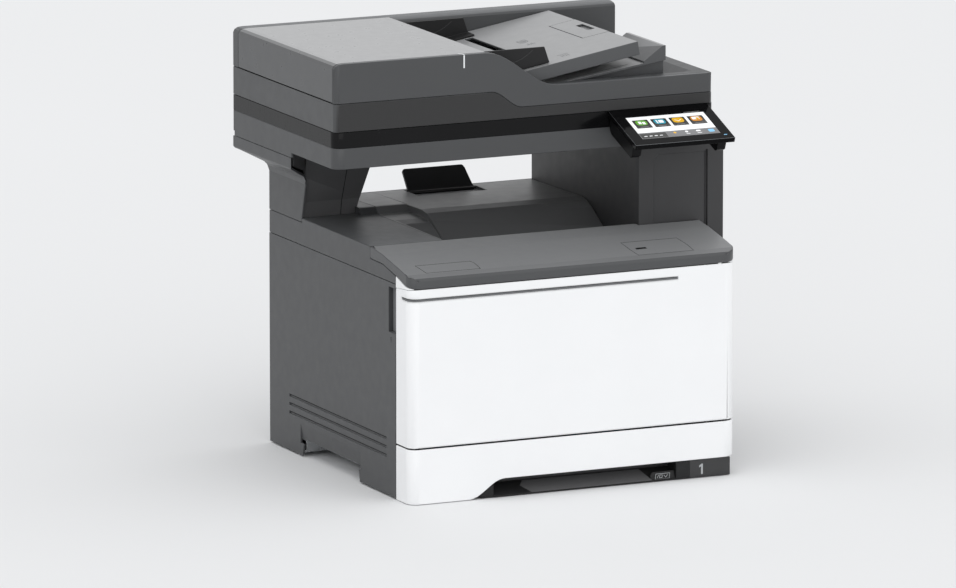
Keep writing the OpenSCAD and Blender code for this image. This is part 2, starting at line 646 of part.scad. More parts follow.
module exit_roller() in_frame() color([0.12, 0.12, 0.12]) {
    rod_x(-shaft_end, shaft_end, exit_y, exit_z, shaft_r);
    for (x = [-84, -28, 28, 84]) rod_x(x - 10, x + 10, exit_y, exit_z, 8);
}

module drive_motor() in_frame() color([0.55, 0.56, 0.58]) {
    rod_x(frame_in + frame_t, frame_in + frame_t + 9, 300, 205, 24);
    rod_x(frame_in + frame_t + 9, frame_in + frame_t + 11.5, 300, 205, 7);
    block(frame_in + frame_t, frame_in + frame_t + 1.6, 268, 332, 190, 220);
}

module main_board() in_frame() color([0.08, 0.32, 0.16]) {
    block(-212.2, -210.6, 110, 370, 105, 250);
    for (p = [[140, 130, 34, 34], [200, 190, 26, 40], [270, 140, 40, 20], [320, 200, 22, 30]])
        block(-215.4, -212.2, p[0], p[0] + p[2], p[1], p[1] + p[3]);
    for (y = [118, 362], z = [113, 242]) rod_x(-210.6, -frame_in - frame_t, y, z, 3, fine_fn);
}

module ac_inlet() in_frame() color([0.06, 0.06, 0.06]) {
    difference() {
        block(149.3, 180.7, 394, body_d - 0.4, 29.3, 52.7);
        block(152, 178, 400, body_d + 1, 32, 50);
    }
    for (pin = [[158, 38], [165, 42], [172, 38]])
        block(pin[0] - 1, pin[0] + 1, 400, 412, pin[1], pin[1] + 4);
    difference() {
        block(121.8, 138.2, 400, body_d - 0.4, 29.3, 52.7);
        block(124, 136, 404, body_d + 1, 32, 50);
        rod_x(122.8, 137.2, switch_y, switch_z, 1 + bearing_gap, fine_fn);
    }
}

// Rocker switch, pressed in at its lower end
switch_y = body_d - 5.8;
switch_z = 41;
module power_switch() in_frame() color([0.12, 0.12, 0.12]) {
    translate([0, switch_y, switch_z]) rotate([6, 0, 0])
        along_x(124.6, 135.4, [[-4, -2.5], [-4, 2.5], [4.6, 7.6], [4.2, 0], [4.6, -7.6]]);
    rod_x(123, 137, switch_y, switch_z, 1, fine_fn);
}

// ---- scanner ----

module scanner_base() in_frame() color([0.36, 0.37, 0.38]) {
    difference() {
        translate([0, 0, scan_z0]) linear_extrude(scan_z1 - scan_z0)
            plan(scan_x0, scan_x1, scan_y0, scan_y1, corner_l, corner_l, rear_r);
        translate([0, 0, scan_z0 + wall]) linear_extrude(30)
            plan(scan_x0 + wall, scan_x1 - wall, scan_y0 + wall, scan_y1 - wall, corner_l - wall,
                corner_l - wall, 1.5);
    }
    // skirt of the left side over the column
    block(scan_x0, scan_x0 + wall, 240, scan_y1 - 4, 393.6, scan_z0);
    // carriage rails
    for (y = [133, 386]) block(scan_x0 + wall, scan_x1 - wall, y, y + 4, scan_z0 + wall, 417.6);
}

glass_x0 = -216;
glass_x1 = 100;
module scanner_frame() in_frame() color([0.03, 0.03, 0.033]) {
    difference() {
        translate([0, 0, scan_z1]) linear_extrude(scan_z2 - scan_z1)
            plan(scan_x0, scan_x1, scan_y0, scan_y1, corner_l, corner_l, rear_r);
        translate([0, 0, scan_z1 - 1]) linear_extrude(scan_z2 - scan_z1 - 1.5)
            plan(scan_x0 + wall, scan_x1 - wall, scan_y0 + wall, scan_y1 - wall, corner_l - wall,
                corner_l - wall, 1.5);
        block(glass_x0, glass_x1, 148, 372, 440, 450);
        block(-251, -231, 148, 372, 440, 450);
    }
}

module platen_glass() in_frame() color([0.7, 0.8, 0.82, 0.5]) {
    block(glass_x0 - 6, glass_x1 + 6, 142, 378, 439.5, 442.4);
    block(-257, -225, 142, 378, 439.5, 442.4);
}

module scan_carriage() in_frame() color([0.1, 0.1, 0.105]) {
    difference() {
        block(-252, -214, 128, 396, 418.1, 436);
        block(-249, -217, 146, 378, 421, 437);
    }
    block(-240, -226, 146, 378, 429, 434);
}

// ---- document feeder ----

// Lower edge and upper edge of the feeder's front cover, in x and z
s_lo = [for (i = [0 : 10]) [-61 + 4.2 * i, blend(feeder_z1 + 0.4, 459.2, i / 10)]];
s_hi = [for (i = [0 : 14]) [-70 + 7.2 * i, blend(feeder_z2, rim_z, i / 14)]];

module adf_base() in_frame() color([0.36, 0.37, 0.38]) {
    difference() {
        translate([0, 0, feeder_z0]) linear_extrude(feeder_z1 - feeder_z0)
            plan(scan_x0, feeder_x1, scan_y0, scan_y1, feeder_r, feeder_r, rear_r);
        translate([0, 0, feeder_z0 + 7]) linear_extrude(40)
            plan(scan_x0 + wall, feeder_x1 - wall, scan_y0 + wall, scan_y1 - wall, feeder_r - wall,
                feeder_r - wall, 0.5);
        translate([0, 0, feeder_z0 - 1]) linear_extrude(5.5)
            plan(scan_x0 + wall, feeder_x1 - wall, scan_y0 + wall, scan_y1 - wall, feeder_r - wall,
                feeder_r - wall, 0.5);
        // the front cover hangs lower at the right
        along_y(scan_y0 - 1, feeder_seam_y, concat([[-61, feeder_z1 + 1]],
            [for (p = s_lo) [p[0], p[1] - 0.4]], [[feeder_x1 + 1, 458.8], [feeder_x1 + 1, feeder_z1 + 1]]));
        for (x = [-hinge_x, hinge_x])
            block(x - 16.5, x + 16.5, scan_y1 - 3.2, scan_y1 + 1, feeder_z0 - 1, 453.5);
    }
    // rim behind the front cover and at the right end, with a sloping floor inside it
    block(-24, feeder_x1 - wall, feeder_seam_y + 0.4, feeder_seam_y + 2.4, 452.5, rim_z);
    block(-24, rim_x, feeder_seam_y + 0.4, rim_y, rim_z - 2, rim_z);
    along_z(rim_z - 2, rim_z, [[rim_x, feeder_seam_y + 0.4], [feeder_x1, feeder_seam_y + 0.4],
        [feeder_x1, feeder_box_y - 0.4], [rim_x, feeder_box_y - 0.4]]);
    block(feeder_x1 - wall, feeder_x1, feeder_seam_y + 0.4, feeder_box_y - 0.4, feeder_z1 - 1, rim_z);
    along_y(rim_y, 140.6, [[62, 453], [140, 453], [rim_x, rim_z - 2], [rim_x, rim_z], [140, 455],
        [62, 455]]);
    block(-24, 140, rim_y - 2, rim_y, 452.5, rim_z);
    along_y(140.6, feeder_box_y - 0.4, [[188, 465], [rim_x, rim_z - 2], [rim_x, rim_z], [188, 468]]);
    along_y(rim_y - 2, rim_y, [[140, 452.5], [rim_x, rim_z - 3], [rim_x, rim_z], [140, rim_z]]);
    // bearings of the input tray
    for (y = [tray_y0 + 3.4, tray_y1 - 6.2]) difference() {
        union() {
            block(-54.2, -47.2, y, y + 2.8, 452.5, 483.7);
            tray_frame() rod_y(y, y + 2.8, pin_x, pin_z, 3.5, fine_fn);
        }
        tray_frame() rod_y(y - 1, y + 4, pin_x, pin_z, pin_r + bearing_gap, fine_fn);
    }
    // bearing ribs of the feed roller
    for (y = [200, 309]) difference() {
        block(-100, -74, y, y + 3, 452.5, 512);
        rod_y(y - 1, y + 4, feeder_roll_x, feeder_roll_z, 3 + bearing_gap);
    }
    // knuckles on the feeder's half of the hinges
    for (x = [-hinge_x - 16, -hinge_x + 5.4, hinge_x - 16, hinge_x + 5.4]) difference() {
        union() {
            rod_x(x, x + 10.6, hinge_y, hinge_z, 2.6);
            block(x, x + 10.6, scan_y1, hinge_y + 1, hinge_z, 468);
        }
        rod_x(x - 1, x + 12, hinge_y, hinge_z, 1.2 + bearing_gap, fine_fn);
    }
}

module adf_hinges() in_frame() color([0.6, 0.6, 0.62])
    for (x = [-hinge_x, hinge_x]) {
        rod_x(x - 5, x + 5, hinge_y, hinge_z, 2.5);
        rod_x(x - 15, x + 15, hinge_y, hinge_z, 1.2, fine_fn);
        block(x - 5, x + 5, scan_y1, hinge_y + 1.5, 420, hinge_z);
        block(x - 16, x + 16, scan_y1, hinge_y + 1.5, 410, 440);
    }

// Rounded upper left edge of the feeder, in x and z
top_round = [[scan_x0, 523], [scan_x0 + 2, 526.6], [scan_x0 + 6, feeder_z2 - 0.6],
    [scan_x0 + 12, feeder_z2]];

// Solid between the upper and lower edge of the front cover, lowered by d at its top
function front_cover_outline(d) = concat([for (p = top_round) [p[0] + d, p[1] - d]],
    [for (p = s_hi) [p[0], p[1] - d]], [[feeder_x1, rim_z - d]]);

module adf_front_cover() in_frame() color([0.36, 0.37, 0.38]) intersection() {
    difference() {
        along_y(scan_y0, feeder_seam_y, concat(front_cover_outline(0), [[feeder_x1, 459.2]],
            [for (i = [10 : -1 : 0]) s_lo[i]], [[scan_x0, feeder_z1 + 0.4]]));
        along_y(scan_y0 + wall, feeder_seam_y + 1, concat(front_cover_outline(wall),
            [[feeder_x1 + 1, rim_z - wall], [feeder_x1 + 1, 450], [scan_x0 + wall, 450],
            [scan_x0 + wall, 500]]));
    }
    translate([0, 0, 440]) linear_extrude(100)
        plan(scan_x0, feeder_x1, scan_y0, scan_y1, feeder_r, feeder_r, rear_r);
}

// Plan of the rear cover, moved inwards by d: it is deeper behind the input tray
module rear_cover_plan(d) intersection() {
    plan(scan_x0 + d, feeder_x1 - d, scan_y0, scan_y1 - d, feeder_r, feeder_r, max(rear_r - d, 0.5));
    polygon([[scan_x0, feeder_rear_y + 0.4 + d], [jam_x1 + 0.5 + d, feeder_rear_y + 0.4 + d],
        [jam_x1 + 0.5 + d, feeder_box_y + d], [feeder_x1, feeder_box_y + d], [feeder_x1, scan_y1],
        [scan_x0, scan_y1]]);
}

module adf_rear_cover() in_frame() color([0.36, 0.37, 0.38]) difference() {
    intersection() {
        along_y(feeder_box_y, scan_y1, concat(top_round, [[feeder_x1, feeder_z2],
            [feeder_x1, feeder_z1 + 0.4], [scan_x0, feeder_z1 + 0.4]]));
        translate([0, 0, 440]) linear_extrude(100) rear_cover_plan(0);
    }
    intersection() {
        along_y(feeder_box_y, scan_y1, [[scan_x0 + wall, feeder_z1 - 1], [scan_x0 + wall, 520],
            [scan_x0 + 8, feeder_z2 - 4], [scan_x0 + 14, box_edge_z - wall],
            [feeder_x1 - wall, box_edge_z - wall], [feeder_x1 - wall, feeder_z1 - 1]]);
        translate([0, 0, 440]) linear_extrude(100) rear_cover_plan(wall);
    }
    // rounded top edge behind the input tray
    along_x(jam_x1, feeder_x1 + 1, [[feeder_box_y - 1, box_edge_z], [feeder_box_y, box_edge_z],
        [feeder_box_y + 2, box_edge_z + 2.6], [feeder_box_y + 6, feeder_z2 - 1],
        [feeder_box_y + 12, feeder_z2], [feeder_box_y + 12, feeder_z2 + 1],
        [feeder_box_y - 1, feeder_z2 + 1]]);
}

// Jam cover: top and left side in one piece, hinged along the lower edge of the left side
jam_y0 = feeder_seam_y + 0.4;
jam_z = 482.35;
module adf_top_cover() in_frame() color([0.62, 0.62, 0.63]) {
    along_y(jam_y0, feeder_rear_y, [[scan_x0, jam_z], [scan_x0, 523], [scan_x0 + 2, 526.6],
        [scan_x0 + 6, feeder_z2 - 0.6], [scan_x0 + 12, feeder_z2], [jam_x1, feeder_z2],
        [jam_x1, feeder_z2 - 3], [scan_x0 + 12, feeder_z2 - 3], [scan_x0 + 6.8, feeder_z2 - 4],
        [scan_x0 + wall, 521.5], [scan_x0 + wall, jam_z]]);
    rod_y(jam_y0, feeder_rear_y, scan_x0 + wall / 2, jam_z, wall / 2, fine_fn);
    for (x = [-225, -180, -135])
        block(x, x + 2, jam_y0 + 8, feeder_rear_y - 8, feeder_z2 - 12, feeder_z2 - 3);
}

module tray_frame() translate([tray_x0, 0, tray_z0]) rotate([0, -tray_slope, 0]) children();

// Hinge of the input tray, in the tray's own frame
pin_x = 6;
pin_z = -8;
pin_r = 1.5;

module input_tray() in_frame() color([0.55, 0.55, 0.56]) tray_frame() difference() {
    union() {
        rod_y(tray_y0 + 2, tray_y0 + 6.4, pin_x, pin_z, pin_r, fine_fn);
        rod_y(tray_y1 - 6.4, tray_y1 - 2, pin_x, pin_z, pin_r, fine_fn);
        difference() {
            block(0, tray_l, tray_y0, tray_y1, -17, 0);
            block(-1, tray_l - 3, tray_y0 + 3, tray_y1 - 3, -18, -3);
        }
        block(pocket_x0 - 4, tray_l - 3, pocket_y0 - 3, pocket_y1 + 3, -8.5, -3);
    }
    block(pocket_x0, tray_l + 1, pocket_y0, pocket_y1, -6, 1);
    // grooves that the side guides run in
    block(74, 84, 160, 352, -4, 1);
}

module tray_extension() in_frame() color([0.55, 0.55, 0.56]) tray_frame() difference() {
    block(pocket_x0 + 0.5, tray_l, pocket_y0 + 0.5, pocket_y1 - 0.5, -5.6, 0);
    translate([tray_l - 14, (pocket_y0 + pocket_y1) / 2 - 18, -3.2]) cube([9, 36, 5]);
}

// Side guide of the input tray: an upright over a flat foot
module paper_guide(foot0, foot1, y0, y1) {
    block(34, 90, foot0, foot1, 0.5, 2.3);
    along_y(y0, y1, [[2, 0.5], [90, 0.5], [86.5, 21.5], [2, 35.5]]);
}

module guide_front() in_frame() color([0.03, 0.03, 0.033]) tray_frame() paper_guide(138, 158, 138, 141);
module guide_rear() in_frame() color([0.03, 0.03, 0.033]) tray_frame() paper_guide(355, 377, 374, 377);

module output_tray() in_frame() color([0.42, 0.42, 0.43]) {
    along_y(134, 384, [[24, 475], [157, 494.2], [157, 496.8], [24, 477.6]]);
    along_y(134, 238, [[157, 494.2], [187, 498.5], [187, 517], [183, 517], [157, 499]]);
    along_y(141, 143.5, [[40, 455.2], [140, 455.2], [187, 470.8], [187, 498.5], [157, 495], [40, 478]]);
    along_y(376, 379, [[60, 452.5], [150, 452.5], [150, 494], [60, 481]]);
}

module adf_roller() in_frame() color([0.15, 0.15, 0.15]) {
    rod_y(197, 315, feeder_roll_x, feeder_roll_z, 3);
    rod_y(230, 280, feeder_roll_x, feeder_roll_z, 10);
}

module platen_pad() in_frame() color([0.95, 0.95, 0.95]) block(-222, 106, 140, 380, 446.2, 450);

// ---- touch panel ----

// Panel's own frame: origin on the hinge line, x right, y up the slope to the rear, z out of the glass
module panel_frame() translate([panel_x0, tilt_y, tilt_z]) rotate([panel_tilt, 0, 0]) children();
glass_z = 13;
panel_back = 18.3;

module panel_glass() in_frame() color([0.02, 0.02, 0.022]) panel_frame()
    along_x(0, panel_w, [[panel_back - panel_len, glass_z - 6.5], [panel_back - 2.5, glass_z - 6.5],
        [panel_back, glass_z], [panel_back - panel_len, glass_z]]);

module panel_housing() in_frame() color([0.04, 0.04, 0.043]) panel_frame() difference() {
    union() {
        block(2, panel_w - 6, -58, 8, -6, glass_z - 6.5);
        along_x(2, panel_w - 6, [[-54, -12], [0, -12], [0, -5], [-58, -5], [-58, -8]]);
        rod_x(2, panel_w - 6, 0, 0, 12);
    }
    // thin front edge between the two corner tabs
    block(14, panel_w - 18, -60, -30, -14, 2.5);
    block(34, panel_w - 38, -16, 20, -14, 4.6);
    block(0, panel_w, -20, 20, glass_z - 6.5, 20);
    rod_x(25.5, 35, 0, 0, 2 + bearing_gap, fine_fn);
    rod_x(panel_w - 39, panel_w - 29.5, 0, 0, 2 + bearing_gap, fine_fn);
}

module panel_bracket() in_frame() color([0.05, 0.05, 0.055]) {
    translate([panel_x0, tilt_y, tilt_z]) {
        rod_x(36, panel_w - 40, 0, 0, 4.1);
        rod_x(26, 36, 0, 0, 2, fine_fn);
        rod_x(panel_w - 40, panel_w - 30, 0, 0, 2, fine_fn);
        block(36, panel_w - 40, 0, scan_y0 - tilt_y, -4.1, -1.8);
    }
}

base_pan();
feet();
side_frames();
left_lower_cover();
left_upper_cover();
right_cover();
rear_cover();
front_lid();
output_bin();
paper_stop();
left_column_cover();
left_column_core();
tower_shell();
front_door();
door_liner();
door_corner_trims();
rear_door();
cassette_tray();
cassette_front();
cassette_grip();
side_guide_left();
side_guide_right();
end_guide();
lift_plate();
pick_roller();
laser_unit();
drum_black();
drum_cyan();
drum_magenta();
drum_yellow();
transfer_belt();
belt_roller();
toner_cartridges();
fuser_housing();
heat_roller();
press_roller();
exit_roller();
drive_motor();
main_board();
ac_inlet();
power_switch();
scanner_base();
scanner_frame();
platen_glass();
scan_carriage();
adf_base();
adf_front_cover();
adf_rear_cover();
adf_top_cover();
input_tray();
tray_extension();
guide_front();
guide_rear();
output_tray();
adf_roller();
platen_pad();
adf_hinges();
panel_bracket();
panel_housing();
panel_glass();
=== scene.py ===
"""Looks of the desktop photocopier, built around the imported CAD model, in metres."""
import math

import bpy
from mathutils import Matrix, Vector


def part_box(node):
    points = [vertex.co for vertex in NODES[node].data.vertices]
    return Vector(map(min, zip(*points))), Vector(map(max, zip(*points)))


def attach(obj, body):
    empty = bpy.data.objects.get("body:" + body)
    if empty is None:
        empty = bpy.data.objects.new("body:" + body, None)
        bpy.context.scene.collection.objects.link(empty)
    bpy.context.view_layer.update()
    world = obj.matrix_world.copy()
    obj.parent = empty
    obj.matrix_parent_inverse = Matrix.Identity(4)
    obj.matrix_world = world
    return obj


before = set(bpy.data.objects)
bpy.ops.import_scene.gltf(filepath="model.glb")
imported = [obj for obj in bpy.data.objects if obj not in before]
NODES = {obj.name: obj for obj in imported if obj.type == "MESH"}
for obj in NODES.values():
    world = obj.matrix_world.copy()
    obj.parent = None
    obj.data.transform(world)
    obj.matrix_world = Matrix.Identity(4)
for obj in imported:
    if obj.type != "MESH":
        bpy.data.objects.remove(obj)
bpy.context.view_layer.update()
MM = 0.001

# Machine coordinates: x from the door's middle, y back from its face, z up from the table
door_lo, door_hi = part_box("front_door")
ORIGIN = Vector(((door_lo.x + door_hi.x) / 2, door_lo.y, 0))


def at(x, y, z):
    """A point in machine millimetres, in the scene's frame."""
    return ORIGIN + Vector((x, y, z)) * MM


# ---------------------------------------------------------------- camera, light, floor

VIEW_AZ, VIEW_EL = math.radians(24.97), math.radians(11.03)
VIEW_DISTANCE = 12.8918
LENS, SENSOR, CLIP_END = 397.5, 36.0, 100
forward = Vector((math.sin(VIEW_AZ) * math.cos(VIEW_EL),
                  math.cos(VIEW_AZ) * math.cos(VIEW_EL), -math.sin(VIEW_EL)))
LOOK_AT = at(-86.59, 93.93, 234.81)


def make_camera():
    """The photo's viewpoint, through a long lens."""
    data = bpy.data.cameras.new("camera")
    data.lens, data.sensor_width = LENS, SENSOR
    data.clip_end = CLIP_END
    camera = bpy.data.objects.new("camera", data)
    bpy.context.scene.collection.objects.link(camera)
    camera.location = LOOK_AT - forward * VIEW_DISTANCE
    camera.rotation_euler = forward.to_track_quat("-Z", "Y").to_euler()
    bpy.context.scene.camera = camera


def soft_sun(name, aim, strength, angle):
    """A distant lamp wide enough to cast only soft shadows."""
    data = bpy.data.lights.new(name, "SUN")
    data.energy, data.angle = strength, math.radians(angle)
    lamp = bpy.data.objects.new(name, data)
    bpy.context.scene.collection.objects.link(lamp)
    lamp.rotation_euler = Vector(aim).to_track_quat("-Z", "Y").to_euler()


def make_world():
    """An even, faintly cool studio light from all round."""
    world = bpy.data.worlds.new("studio")
    bpy.context.scene.world = world
    world.use_nodes = True
    back = world.node_tree.nodes["Background"]
    back.inputs["Color"].default_value = (0.985, 0.99, 1.0, 1)
    back.inputs["Strength"].default_value = 0.9
    bpy.context.scene.view_settings.view_transform = "Standard"


make_camera()
make_world()
soft_sun("overhead", (0.1, 0.4, -1.0), 0.42, 60)
soft_sun("front", (0.3, 1.0, -0.35), 0.42, 50)

# ---------------------------------------------------------------- materials


class Nodes:
    """A material under construction, with short calls for its nodes."""

    def __init__(self, name):
        self.material = bpy.data.materials.new(name)
        self.material.use_nodes = True
        self.tree = self.material.node_tree
        self.shader = self.tree.nodes["Principled BSDF"]
        self.coord = self.tree.nodes.new("ShaderNodeTexCoord").outputs["Object"]

    def add(self, kind, **values):
        node = self.tree.nodes.new(kind)
        for key, value in values.items():
            setattr(node, key, value)
        return node

    def link(self, output, target):
        self.tree.links.new(output, target)

    def noise(self, scale, detail=2.0, stretch=(1, 1, 1)):
        place = self.add("ShaderNodeMapping")
        place.inputs["Scale"].default_value = stretch
        self.link(self.coord, place.inputs["Vector"])
        node = self.add("ShaderNodeTexNoise")
        node.inputs["Scale"].default_value = scale
        node.inputs["Detail"].default_value = detail
        self.link(place.outputs["Vector"], node.inputs["Vector"])
        return node.outputs["Fac"]

    def remap(self, value, low, high, from_low=0.3, from_high=0.7):
        node = self.add("ShaderNodeMapRange")
        node.inputs["From Min"].default_value = from_low
        node.inputs["From Max"].default_value = from_high
        node.inputs["To Min"].default_value = low
        node.inputs["To Max"].default_value = high
        self.link(value, node.inputs["Value"])
        return node.outputs["Result"]

    def mix(self, share, first, second):
        node = self.add("ShaderNodeMix", data_type="RGBA")
        node.inputs[6].default_value = (*first, 1)
        node.inputs[7].default_value = (*second, 1)
        self.link(share, node.inputs[0])
        return node.outputs[2]

    def bump(self, height, distance, strength=0.5):
        node = self.add("ShaderNodeBump")
        node.inputs["Distance"].default_value = distance
        node.inputs["Strength"].default_value = strength
        self.link(height, node.inputs["Height"])
        self.link(node.outputs["Normal"], self.shader.inputs["Normal"])

    def base_colour(self, field, first, second):
        self.link(self.mix(self.remap(field, 0, 1), first, second),
                  self.shader.inputs["Base Color"])

    def roughness(self, field, low, high):
        self.link(self.remap(field, low, high), self.shader.inputs["Roughness"])

    def set(self, **values):
        for key, value in values.items():
            self.shader.inputs[key.replace("_", " ")].default_value = value


def shade(colour, factor):
    """A colour made lighter or darker."""
    return tuple(min(1.0, c * factor) for c in colour)


def plastic(name, colour, rough=0.5, grain=1500.0, depth=0.00003, vary=0.014, shine=0.5):
    """Moulded plastic: spark-eroded grain, faint mottling, uneven gloss."""
    n = Nodes(name)
    n.base_colour(n.noise(14.0, 3.0), shade(colour, 1 - vary), shade(colour, 1 + vary))
    n.roughness(n.noise(70.0, 3.0), rough - 0.03, rough + 0.03)
    n.bump(n.noise(grain, 2.0), depth)
    n.set(Specular_IOR_Level=shine)
    return n.material


def gloss(name, colour, rough=0.12, shine=0.5):
    """Polished plastic or lacquer with faint wipe marks."""
    n = Nodes(name)
    n.base_colour(n.noise(9.0, 2.0), shade(colour, 0.85), shade(colour, 1.2))
    n.roughness(n.noise(45.0, 4.0, (1, 6, 1)), rough * 0.6, rough * 1.7)
    n.bump(n.noise(22.0, 1.0), 0.00012, 0.15)
    n.set(Specular_IOR_Level=shine)
    return n.material


def metal(name, colour, rough=0.32, stretch=(1, 40, 40)):
    """Rolled or brushed sheet metal."""
    n = Nodes(name)
    brushed = n.noise(260.0, 4.0, stretch)
    n.base_colour(brushed, shade(colour, 0.86), shade(colour, 1.1))
    n.roughness(n.noise(30.0, 3.0), rough - 0.08, rough + 0.1)
    n.bump(brushed, 0.00002, 0.4)
    n.set(Metallic=1.0)
    return n.material


def rubber(name, colour, rough=0.78):
    """Matt rubber with a fine grain."""
    n = Nodes(name)
    n.base_colour(n.noise(60.0, 4.0), shade(colour, 0.8), shade(colour, 1.3))
    n.roughness(n.noise(300.0, 2.0), rough - 0.07, rough + 0.08)
    n.bump(n.noise(900.0, 3.0), 0.00012)
    return n.material


def clear(name, colour, rough=0.02):
    """Float glass."""
    n = Nodes(name)
    n.base_colour(n.noise(12.0, 2.0), shade(colour, 0.97), colour)
    n.roughness(n.noise(50.0, 3.0), rough, rough + 0.05)
    n.set(Transmission_Weight=1.0, IOR=1.5)
    return n.material


def lit(name, colour, power, vary=0.03):
    """A lit patch of a display under glass."""
    n = Nodes(name)
    patchy = n.remap(n.noise(35.0, 2.0), 0, 1)
    glow = n.mix(patchy, shade(colour, 1 - vary), shade(colour, 1 + vary))
    n.link(glow, n.shader.inputs["Base Color"])
    n.link(glow, n.shader.inputs["Emission Color"])
    n.roughness(n.noise(60.0, 2.0), 0.1, 0.2)
    n.set(Emission_Strength=power)
    return n.material


def circuit_board(name):
    """Green solder mask with copper tracks under it."""
    n = Nodes(name)
    cells = n.add("ShaderNodeTexVoronoi", distance="MANHATTAN", feature="DISTANCE_TO_EDGE")
    cells.inputs["Scale"].default_value = 160.0
    n.link(n.coord, cells.inputs["Vector"])
    tracks = n.remap(cells.outputs["Distance"], 1, 0, 0.02, 0.06)
    n.link(n.mix(tracks, (0.008, 0.1, 0.035), (0.02, 0.2, 0.08)), n.shader.inputs["Base Color"])
    n.roughness(n.noise(90.0, 3.0), 0.25, 0.4)
    n.bump(tracks, 0.00004, 0.6)
    return n.material


def paint_light_by_facing(material, axis, start, end, colour):
    """Paints light or shade into the base colour: blends in another colour where a face's own
    normal passes from start to end along an axis.
    """
    tree = material.node_tree
    target = tree.nodes["Principled BSDF"].inputs["Base Color"]
    source = target.links[0].from_socket
    split = tree.nodes.new("ShaderNodeSeparateXYZ")
    tree.links.new(tree.nodes.new("ShaderNodeTexCoord").outputs["Normal"], split.inputs["Vector"])
    facing = tree.nodes.new("ShaderNodeMapRange")
    facing.inputs["From Min"].default_value = start
    facing.inputs["From Max"].default_value = end
    tree.links.new(split.outputs[axis], facing.inputs["Value"])
    mix = tree.nodes.new("ShaderNodeMix")
    mix.data_type = "RGBA"
    tree.links.new(facing.outputs["Result"], mix.inputs[0])
    tree.links.new(source, mix.inputs[6])
    mix.inputs[7].default_value = (*colour, 1)
    tree.links.new(mix.outputs[2], target)
    return material


def paint_light_on_tops(material, colour):
    """Painted light: the faces that look up are painted paler, standing for the sheen and the light
    from above on matt plastic.
    """
    return paint_light_by_facing(material, "Z", 0.82, 0.98, colour)


GREY = (0.056, 0.058, 0.0605)
M = {
    "white": plastic("white_plastic", (0.885, 0.892, 0.9), 0.42, 1500, 0.00003, 0.008),
    # Grey, top, tray, lid and bin get paler upward faces: painted sheen and light from above, not
    # the plastic's own colour.
    "grey": paint_light_on_tops(plastic("grey_plastic", GREY, 0.45), shade(GREY, 2.1)),
    "top": paint_light_on_tops(plastic("top_plastic", shade(GREY, 1.05), 0.3, vary=0.01),
                       (0.335, 0.338, 0.342)),
    "tray": paint_light_on_tops(plastic("tray_plastic", shade(GREY, 1.3), 0.34, vary=0.01),
                        (0.295, 0.298, 0.302)),
    "lid": paint_light_on_tops(plastic("lid_plastic", shade(GREY, 1.15), 0.4), (0.235, 0.239, 0.244)),
    # The bin's grey is painted about twice as pale as the covers' grey: painted light against the
    # shade under the scanner.
    "bin": paint_light_on_tops(plastic("bin_plastic", (0.12, 0.122, 0.124), 0.42), (0.17, 0.172, 0.175)),
    # The adf_base's forward-facing faces are painted near black: painted shade under the front
    # cover's overhanging lip.
    "base": paint_light_by_facing(plastic("base_plastic", GREY, 0.45), "Y", -0.7, -0.95, (0.019, 0.019, 0.0195)),
    "dark": plastic("dark_plastic", (0.034, 0.034, 0.0355), 0.5),
    "block": plastic("block_plastic", (0.032, 0.032, 0.033), 0.5),
    "black": plastic("black_plastic", (0.013, 0.013, 0.0135), 0.42, shine=0.3),
    "jet": plastic("jet_plastic", (0.0045, 0.0045, 0.005), 0.4, shine=0.12),
    "core": plastic("core_plastic", (0.056, 0.056, 0.058), 0.5),
    "band": gloss("black_gloss", (0.0042, 0.0042, 0.0046), 0.17, 0.17),
    "screen": gloss("screen_glass", (0.0026, 0.0026, 0.003), 0.08, 0.07),
    "inner": plastic("inner_plastic", (0.09, 0.09, 0.095), 0.52),
    "blue": plastic("guide_blue", (0.035, 0.12, 0.3), 0.45),
    "steel": metal("sheet_steel", (0.58, 0.59, 0.6)),
    "bright": metal("turned_steel", (0.7, 0.7, 0.71), 0.2, (40, 1, 1)),
    "copper": metal("copper_contact", (0.72, 0.45, 0.2), 0.3),
    "rubber": rubber("black_rubber", (0.022, 0.022, 0.022)),
    "roller": rubber("grey_roller", (0.09, 0.09, 0.088)),
    "fuser": rubber("fuser_sleeve", (0.2, 0.06, 0.035), 0.5),
    "drum": gloss("drum_coating", (0.015, 0.12, 0.17), 0.16),
    "belt": gloss("belt_film", (0.012, 0.012, 0.014), 0.3),
    "glass": clear("scanner_glass", (0.86, 0.93, 0.94)),
    "pad": plastic("white_pad", (0.86, 0.86, 0.855), 0.62, 700, 0.00008, 0.02),
    "board": circuit_board("circuit_board"),
    "seam": plastic("seam_shadow", (0.006, 0.006, 0.006), 0.8, shine=0.1),
    "groove": plastic("groove_grey", (0.16, 0.165, 0.17), 0.6, shine=0.2),
    "mark": plastic("white_mark", (0.82, 0.84, 0.85), 0.5, 1500, 0.00002, 0.02),
    "floor": plastic("notch_plastic", (0.085, 0.085, 0.087), 0.5),
    "rim": metal("glass_edge", (0.24, 0.25, 0.26), 0.3),
    "pale": plastic("pale_mark", (0.42, 0.43, 0.44), 0.5, 1500, 0.00002, 0.02),
    "toner_cyan": plastic("toner_cyan", (0.01, 0.28, 0.55), 0.4),
    "toner_magenta": plastic("toner_magenta", (0.5, 0.02, 0.16), 0.4),
    "toner_yellow": plastic("toner_yellow", (0.75, 0.52, 0.02), 0.4),
    "lit_white": lit("lit_white", (0.86, 0.87, 0.88), 0.28),
    "lit_bar": lit("lit_bar", (0.17, 0.17, 0.175), 0.22, 0.1),
    "lit_dark": lit("lit_dark", (0.035, 0.035, 0.033), 0.2, 0.2),
    "lit_green": lit("lit_green", (0.13, 0.37, 0.04), 0.2),
    "lit_cyan": lit("lit_cyan", (0.02, 0.28, 0.38), 0.2),
    "lit_yellow": lit("lit_yellow", (0.75, 0.42, 0.015), 0.2),
    "lit_orange": lit("lit_orange", (0.62, 0.25, 0.03), 0.2),
    "lit_blue": lit("lit_blue", (0.2, 0.5, 0.75), 0.3),
}

